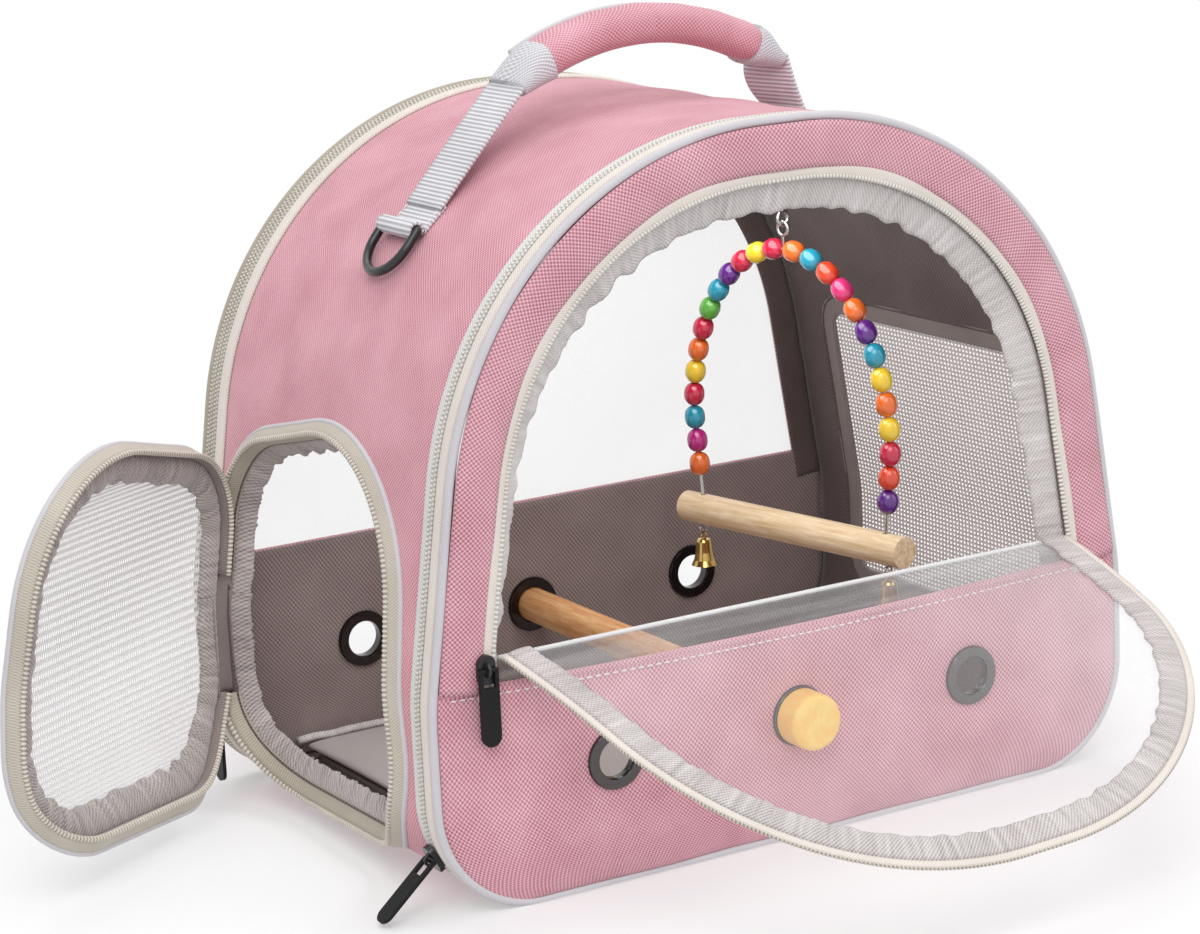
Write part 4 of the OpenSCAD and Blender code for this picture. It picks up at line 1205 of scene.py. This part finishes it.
def web(name, side, node, leaves, bow, turn):
    """Webbing from the roof to the sleeve; bow bends it outwards and turn twists it."""
    foot = on_roof(leaves)
    top = WEB_TOP + (WEB_TOP - foot) / np.hypot(*(WEB_TOP - foot)) * 3.0
    run = np.hypot(*(top - foot))

    def place(u, v):
        slack = bow * np.sin(np.pi * u) + turn * (0.5 - v) * np.sin(np.pi * np.clip(u * 0.9 + 0.05, 0, 1))
        x = (top[0] + (foot[0] - top[0]) * u) * -side
        z = top[1] + (foot[1] - top[1]) * u
        return across_web(x + side * (0.8 + slack), z + 0.45, v)

    piece = cloth(name, 22, 10, place, (run, WEB), thick=1.5)
    piece.data.materials.append(webbing)
    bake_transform(piece)
    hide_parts(node)


web("left_web_strip", -1, "left_web", LEFT_SEAM, 0.4, 0.0)
web("right_web_strip", 1, "right_web", RIGHT_SEAM, -3.0, 6.0)


def strap(name, side, node, leaves):
    """Sewn down the roof, then round the ring's bar and back."""
    ring, loop_r, loop_start, loop_turn = on_roof(RING, 3.35), 3.1, RING - 180 + 20, 285
    line = [on_roof(a) for a in np.linspace(leaves - 1.0, RING - 0.9, 14)]
    line += [round_point(ring, loop_r, a) for a in np.linspace(loop_start, loop_start + loop_turn, 22)]
    line = np.array(line)
    runs = lengths(line)

    def place(u, v):
        x = np.interp(u * runs[-1], runs, line[:, 0])
        z = np.interp(u * runs[-1], runs, line[:, 1])
        return across_web(x * -side, z, v)

    dress(cloth(name, 60, 10, place, (runs[-1], WEB), thick=1.4), webbing, "shell", node)


strap("left_strap_cover", -1, "left_strap", LEFT_SEAM)
strap("right_strap_cover", 1, "right_strap", RIGHT_SEAM)


# Stitching ---------------------------------------------------------------------------

def stitches(name, line, length=3.0, r=0.42):
    """A row of short raised threads along a line of points, each a copy of one thread."""
    deselect()
    bpy.ops.mesh.primitive_uv_sphere_add(segments=6, ring_count=4, radius=1.0)
    pattern = bpy.context.object
    shape = corners(pattern)
    line = np.array(line, float)
    runs = np.concatenate([[0], np.cumsum(np.linalg.norm(np.diff(line, axis=0), axis=1))])
    count = int(runs[-1] / (length * 1.35))
    threads = []
    for k in range(count):
        places = [(k + t) / count * runs[-1] for t in (0.14, 0.86)]
        low, high = (Vector([np.interp(s, runs, line[:, i]) for i in range(3)]) for s in places)
        turn = np.array(Vector((0, 0, 1)).rotation_difference(high - low).to_matrix())
        sized = shape * np.array([r, r, (high - low).length / 2])
        stitch = copied(pattern)
        put_corners(stitch, (sized @ turn.T + np.array((low + high) / 2)) * 0.001)
        threads.append(stitch)
    bpy.data.objects.remove(pattern)
    deselect()
    for stitch in threads:
        stitch.select_set(True)
    bpy.context.view_layer.objects.active = threads[0]
    bpy.ops.object.join()
    piece = bpy.context.object
    piece.name = piece.data.name = name
    bpy.ops.object.shade_smooth()
    dress(piece, thread, "shell")


SEAM_HALF = 163
stitches("front_topstitch", [(x, -112.7 + 0.6 * (x / SEAM_HALF) ** 2, front_edge(x) - 3.6)
                             for x in np.linspace(-SEAM_HALF, SEAM_HALF, 25)])
for row, y in (("front", -21.0), ("rear", 5.0)):
    across = [on_roof(a, 1.0) for a in np.linspace(133, 130, 6)]
    stitches(f"strap_stitch_{row}", [(x, y, z) for x, z in across], length=2.2, r=0.35)


# Swing ------------------------------------------------------------------------------

BEAD_COLOURS = {
    "orange": (238, 112, 40), "magenta": (190, 36, 130), "turquoise": (38, 152, 178), "red": (206, 36, 70),
    "yellow": (246, 206, 48), "green": (98, 176, 66), "purple": (96, 34, 132), "pink": (222, 52, 120),
    "scarlet": (232, 74, 44),
}
BEADS = {name: enamel(f"{name} bead", paint(*colour)) for name, colour in BEAD_COLOURS.items()}
# From the top of the arch down, on its far and near side
FAR = "red yellow red purple turquoise green red orange yellow red turquoise magenta orange".split()
NEAR = "orange turquoise scarlet pink orange purple turquoise yellow orange yellow red scarlet purple".split()
ALONG = Vector((*SWING_ALONG, 0.0))


def arch_line():
    """Half of the wire, from the middle of its top down to the dowel."""
    half, leg, rise, z0 = 61.0, 45.0, 81.0, 102.0
    foot = (57.0, z0 + 3.0)
    arc = [(half * math.sin(a), z0 + leg + rise * math.cos(a)) for a in np.linspace(0, math.pi / 2, 19)]
    legs = [(half + (foot[0] - half) * t, z0 + leg + (foot[1] - z0 - leg) * t)
            for t in np.linspace(0.25, 1, 4)]
    return np.array(arc + legs)


def bead_places():
    """Each bead's place on the wire, and how far it leans from upright."""
    line = arch_line()
    runs = lengths(line)
    gap, half_bead, apart = 1.2, 5.1, 10.8
    places = []
    for i in range(13):
        s = gap + half_bead + i * apart
        x, z = np.interp(s, runs, line[:, 0]), np.interp(s, runs, line[:, 1])
        x2, z2 = np.interp(s + 1, runs, line[:, 0]), np.interp(s + 1, runs, line[:, 1])
        places.append((x, z, math.atan2(x2 - x, z2 - z)))
    return places


def bead_shape():
    """A turned bead: a barrel with a hole and softened ends."""
    deselect()
    bpy.ops.mesh.primitive_uv_sphere_add(segments=20, ring_count=12, radius=1.0)
    bead = bpy.context.object
    co = corners(bead)
    r = np.hypot(co[:, 0], co[:, 1])
    z = co[:, 2]
    full = np.sqrt(np.clip(1 - np.abs(z) ** 2.4, 0, 1))
    keep = np.maximum(full, 0.24)
    k = np.where(r > 1e-6, keep / np.maximum(r, 1e-6), 0)
    co[:, 0] *= k
    co[:, 1] *= k
    co[:, 2] = np.clip(z, -0.97, 0.97)
    put_corners(bead, co * np.array([4.75, 4.75, 5.5]) * 0.001)
    return bead


def hang_beads():
    pattern = bead_shape()
    places = bead_places()
    across = Vector((-ALONG.y, ALONG.x, 0))
    first = None
    for name, side, colours in (("far", -1, FAR), ("near", 1, NEAR)):
        for i, ((x, z, lean), colour) in enumerate(zip(places, colours)):
            bead = copied(pattern)
            bead.name = bead.data.name = f"bead_{name}_{i + 1}"
            middle = SWING + ALONG * (side * x) + Vector((0, 0, z))
            axis = ALONG * (side * math.sin(lean)) + Vector((0, 0, math.cos(lean)))
            axis.normalize()
            flank = across.cross(axis).normalized()
            m = np.array([list(flank), list(across), list(axis)])
            put_corners(bead, corners(bead) @ m + np.array(middle) * 0.001)
            smooth(bead)
            dress(bead, BEADS[colour], "swing", slot="beads")
            first = first or bead
    bpy.data.objects.remove(pattern)
    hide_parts("swing_beads")


hang_beads()


# Finishes of the solids that stay ------------------------------------------------------

CARRIED = {
    "base_board": board, "front_grommets": gunmetal, "rear_grommets": bronze, "perch_dowel": perch_wood,
    "perch_studs": steel, "front_knob": knob_wood, "rear_knob": knob_wood, "left_d_ring": black_metal,
    "right_d_ring": black_metal, "swing_ring": steel, "swing_hook": steel, "swing_wire": steel,
    "swing_dowel": dowel_wood, "swing_eyes": steel, "front_bell": brass, "rear_bell": brass,
    "front_clapper": brass, "rear_clapper": brass,
}
for name in ("window", "door", "front_rim", "rear_rim"):
    CARRIED[name + "_slider"] = black_metal
    CARRIED[name + "_pull"] = black
for name, material in CARRIED.items():
    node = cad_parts[name]
    node.data.materials.clear()
    node.data.materials.append(material)
    choose(node)
    bpy.ops.object.shade_smooth_by_angle(angle=math.radians(35))


# Studio ---------------------------------------------------------------------------------

def studio_floor():
    """A floor that holds the shadow and fades out around it."""
    deselect()
    bpy.ops.mesh.primitive_plane_add(size=14, location=(0, 0, -0.0004))
    floor = bpy.context.object
    floor.name = "studio_floor"
    f = Finish("studio floor", roughness=0.9, base_color=(0.94, 0.94, 0.94, 1.0), specular_ior_level=0.1)
    away = f.node("VectorMath", {"operation": "LENGTH"}, f.node("TexCoord", out="Object"), out="Value")
    f.feed("Alpha", f.node("MapRange", {"interpolation_type": "SMOOTHSTEP"}, away,
                           From_Min=0.22, From_Max=0.62, To_Min=0.7, To_Max=0.0))
    floor.data.materials.append(f.material)


def studio_world():
    """White to look at, also in metal and through film, and a little dimmer as a light."""
    world = bpy.data.worlds.new("studio")
    bpy.context.scene.world = world
    world.use_nodes = True
    sky = Nodes(world.node_tree)
    shown = sky.node("Background", None, (1, 1, 1, 1), 1.0)
    light = sky.node("Background", None, (0.97, 0.98, 1.0, 1), 0.62)
    ray = sky.node("LightPath", out="Is Camera Ray")
    seen = sky.maths("MAXIMUM", ray, ray.beside("Is Glossy Ray"))
    seen = sky.maths("MAXIMUM", seen, ray.beside("Is Transmission Ray"))
    sky.join(sky.node("MixShader", None, seen, light, shown), sky.tree.nodes["World Output"], "Surface")


def studio_lamps():
    for name, place, size, power in (
            ("key", (-1.1, -1.5, 1.9), 1.6, 26), ("fill", (1.6, -1.2, 1.2), 1.6, 9),
            ("top", (0.2, 0.6, 2.2), 1.8, 14), ("cabin", (0.0, -0.03, 0.264), 0.12, 0.22)):
        data = bpy.data.lights.new(name, "AREA")
        data.size, data.energy = size, power
        lamp = bpy.data.objects.new(name, data)
        bpy.context.scene.collection.objects.link(lamp)
        lamp.location = place
        lamp.rotation_euler = (Vector((0, 0.03, 0.06)) - Vector(place)).to_track_quat("-Z", "Y").to_euler()


studio_floor()
studio_world()
studio_lamps()
bpy.context.scene.view_settings.view_transform = "Standard"
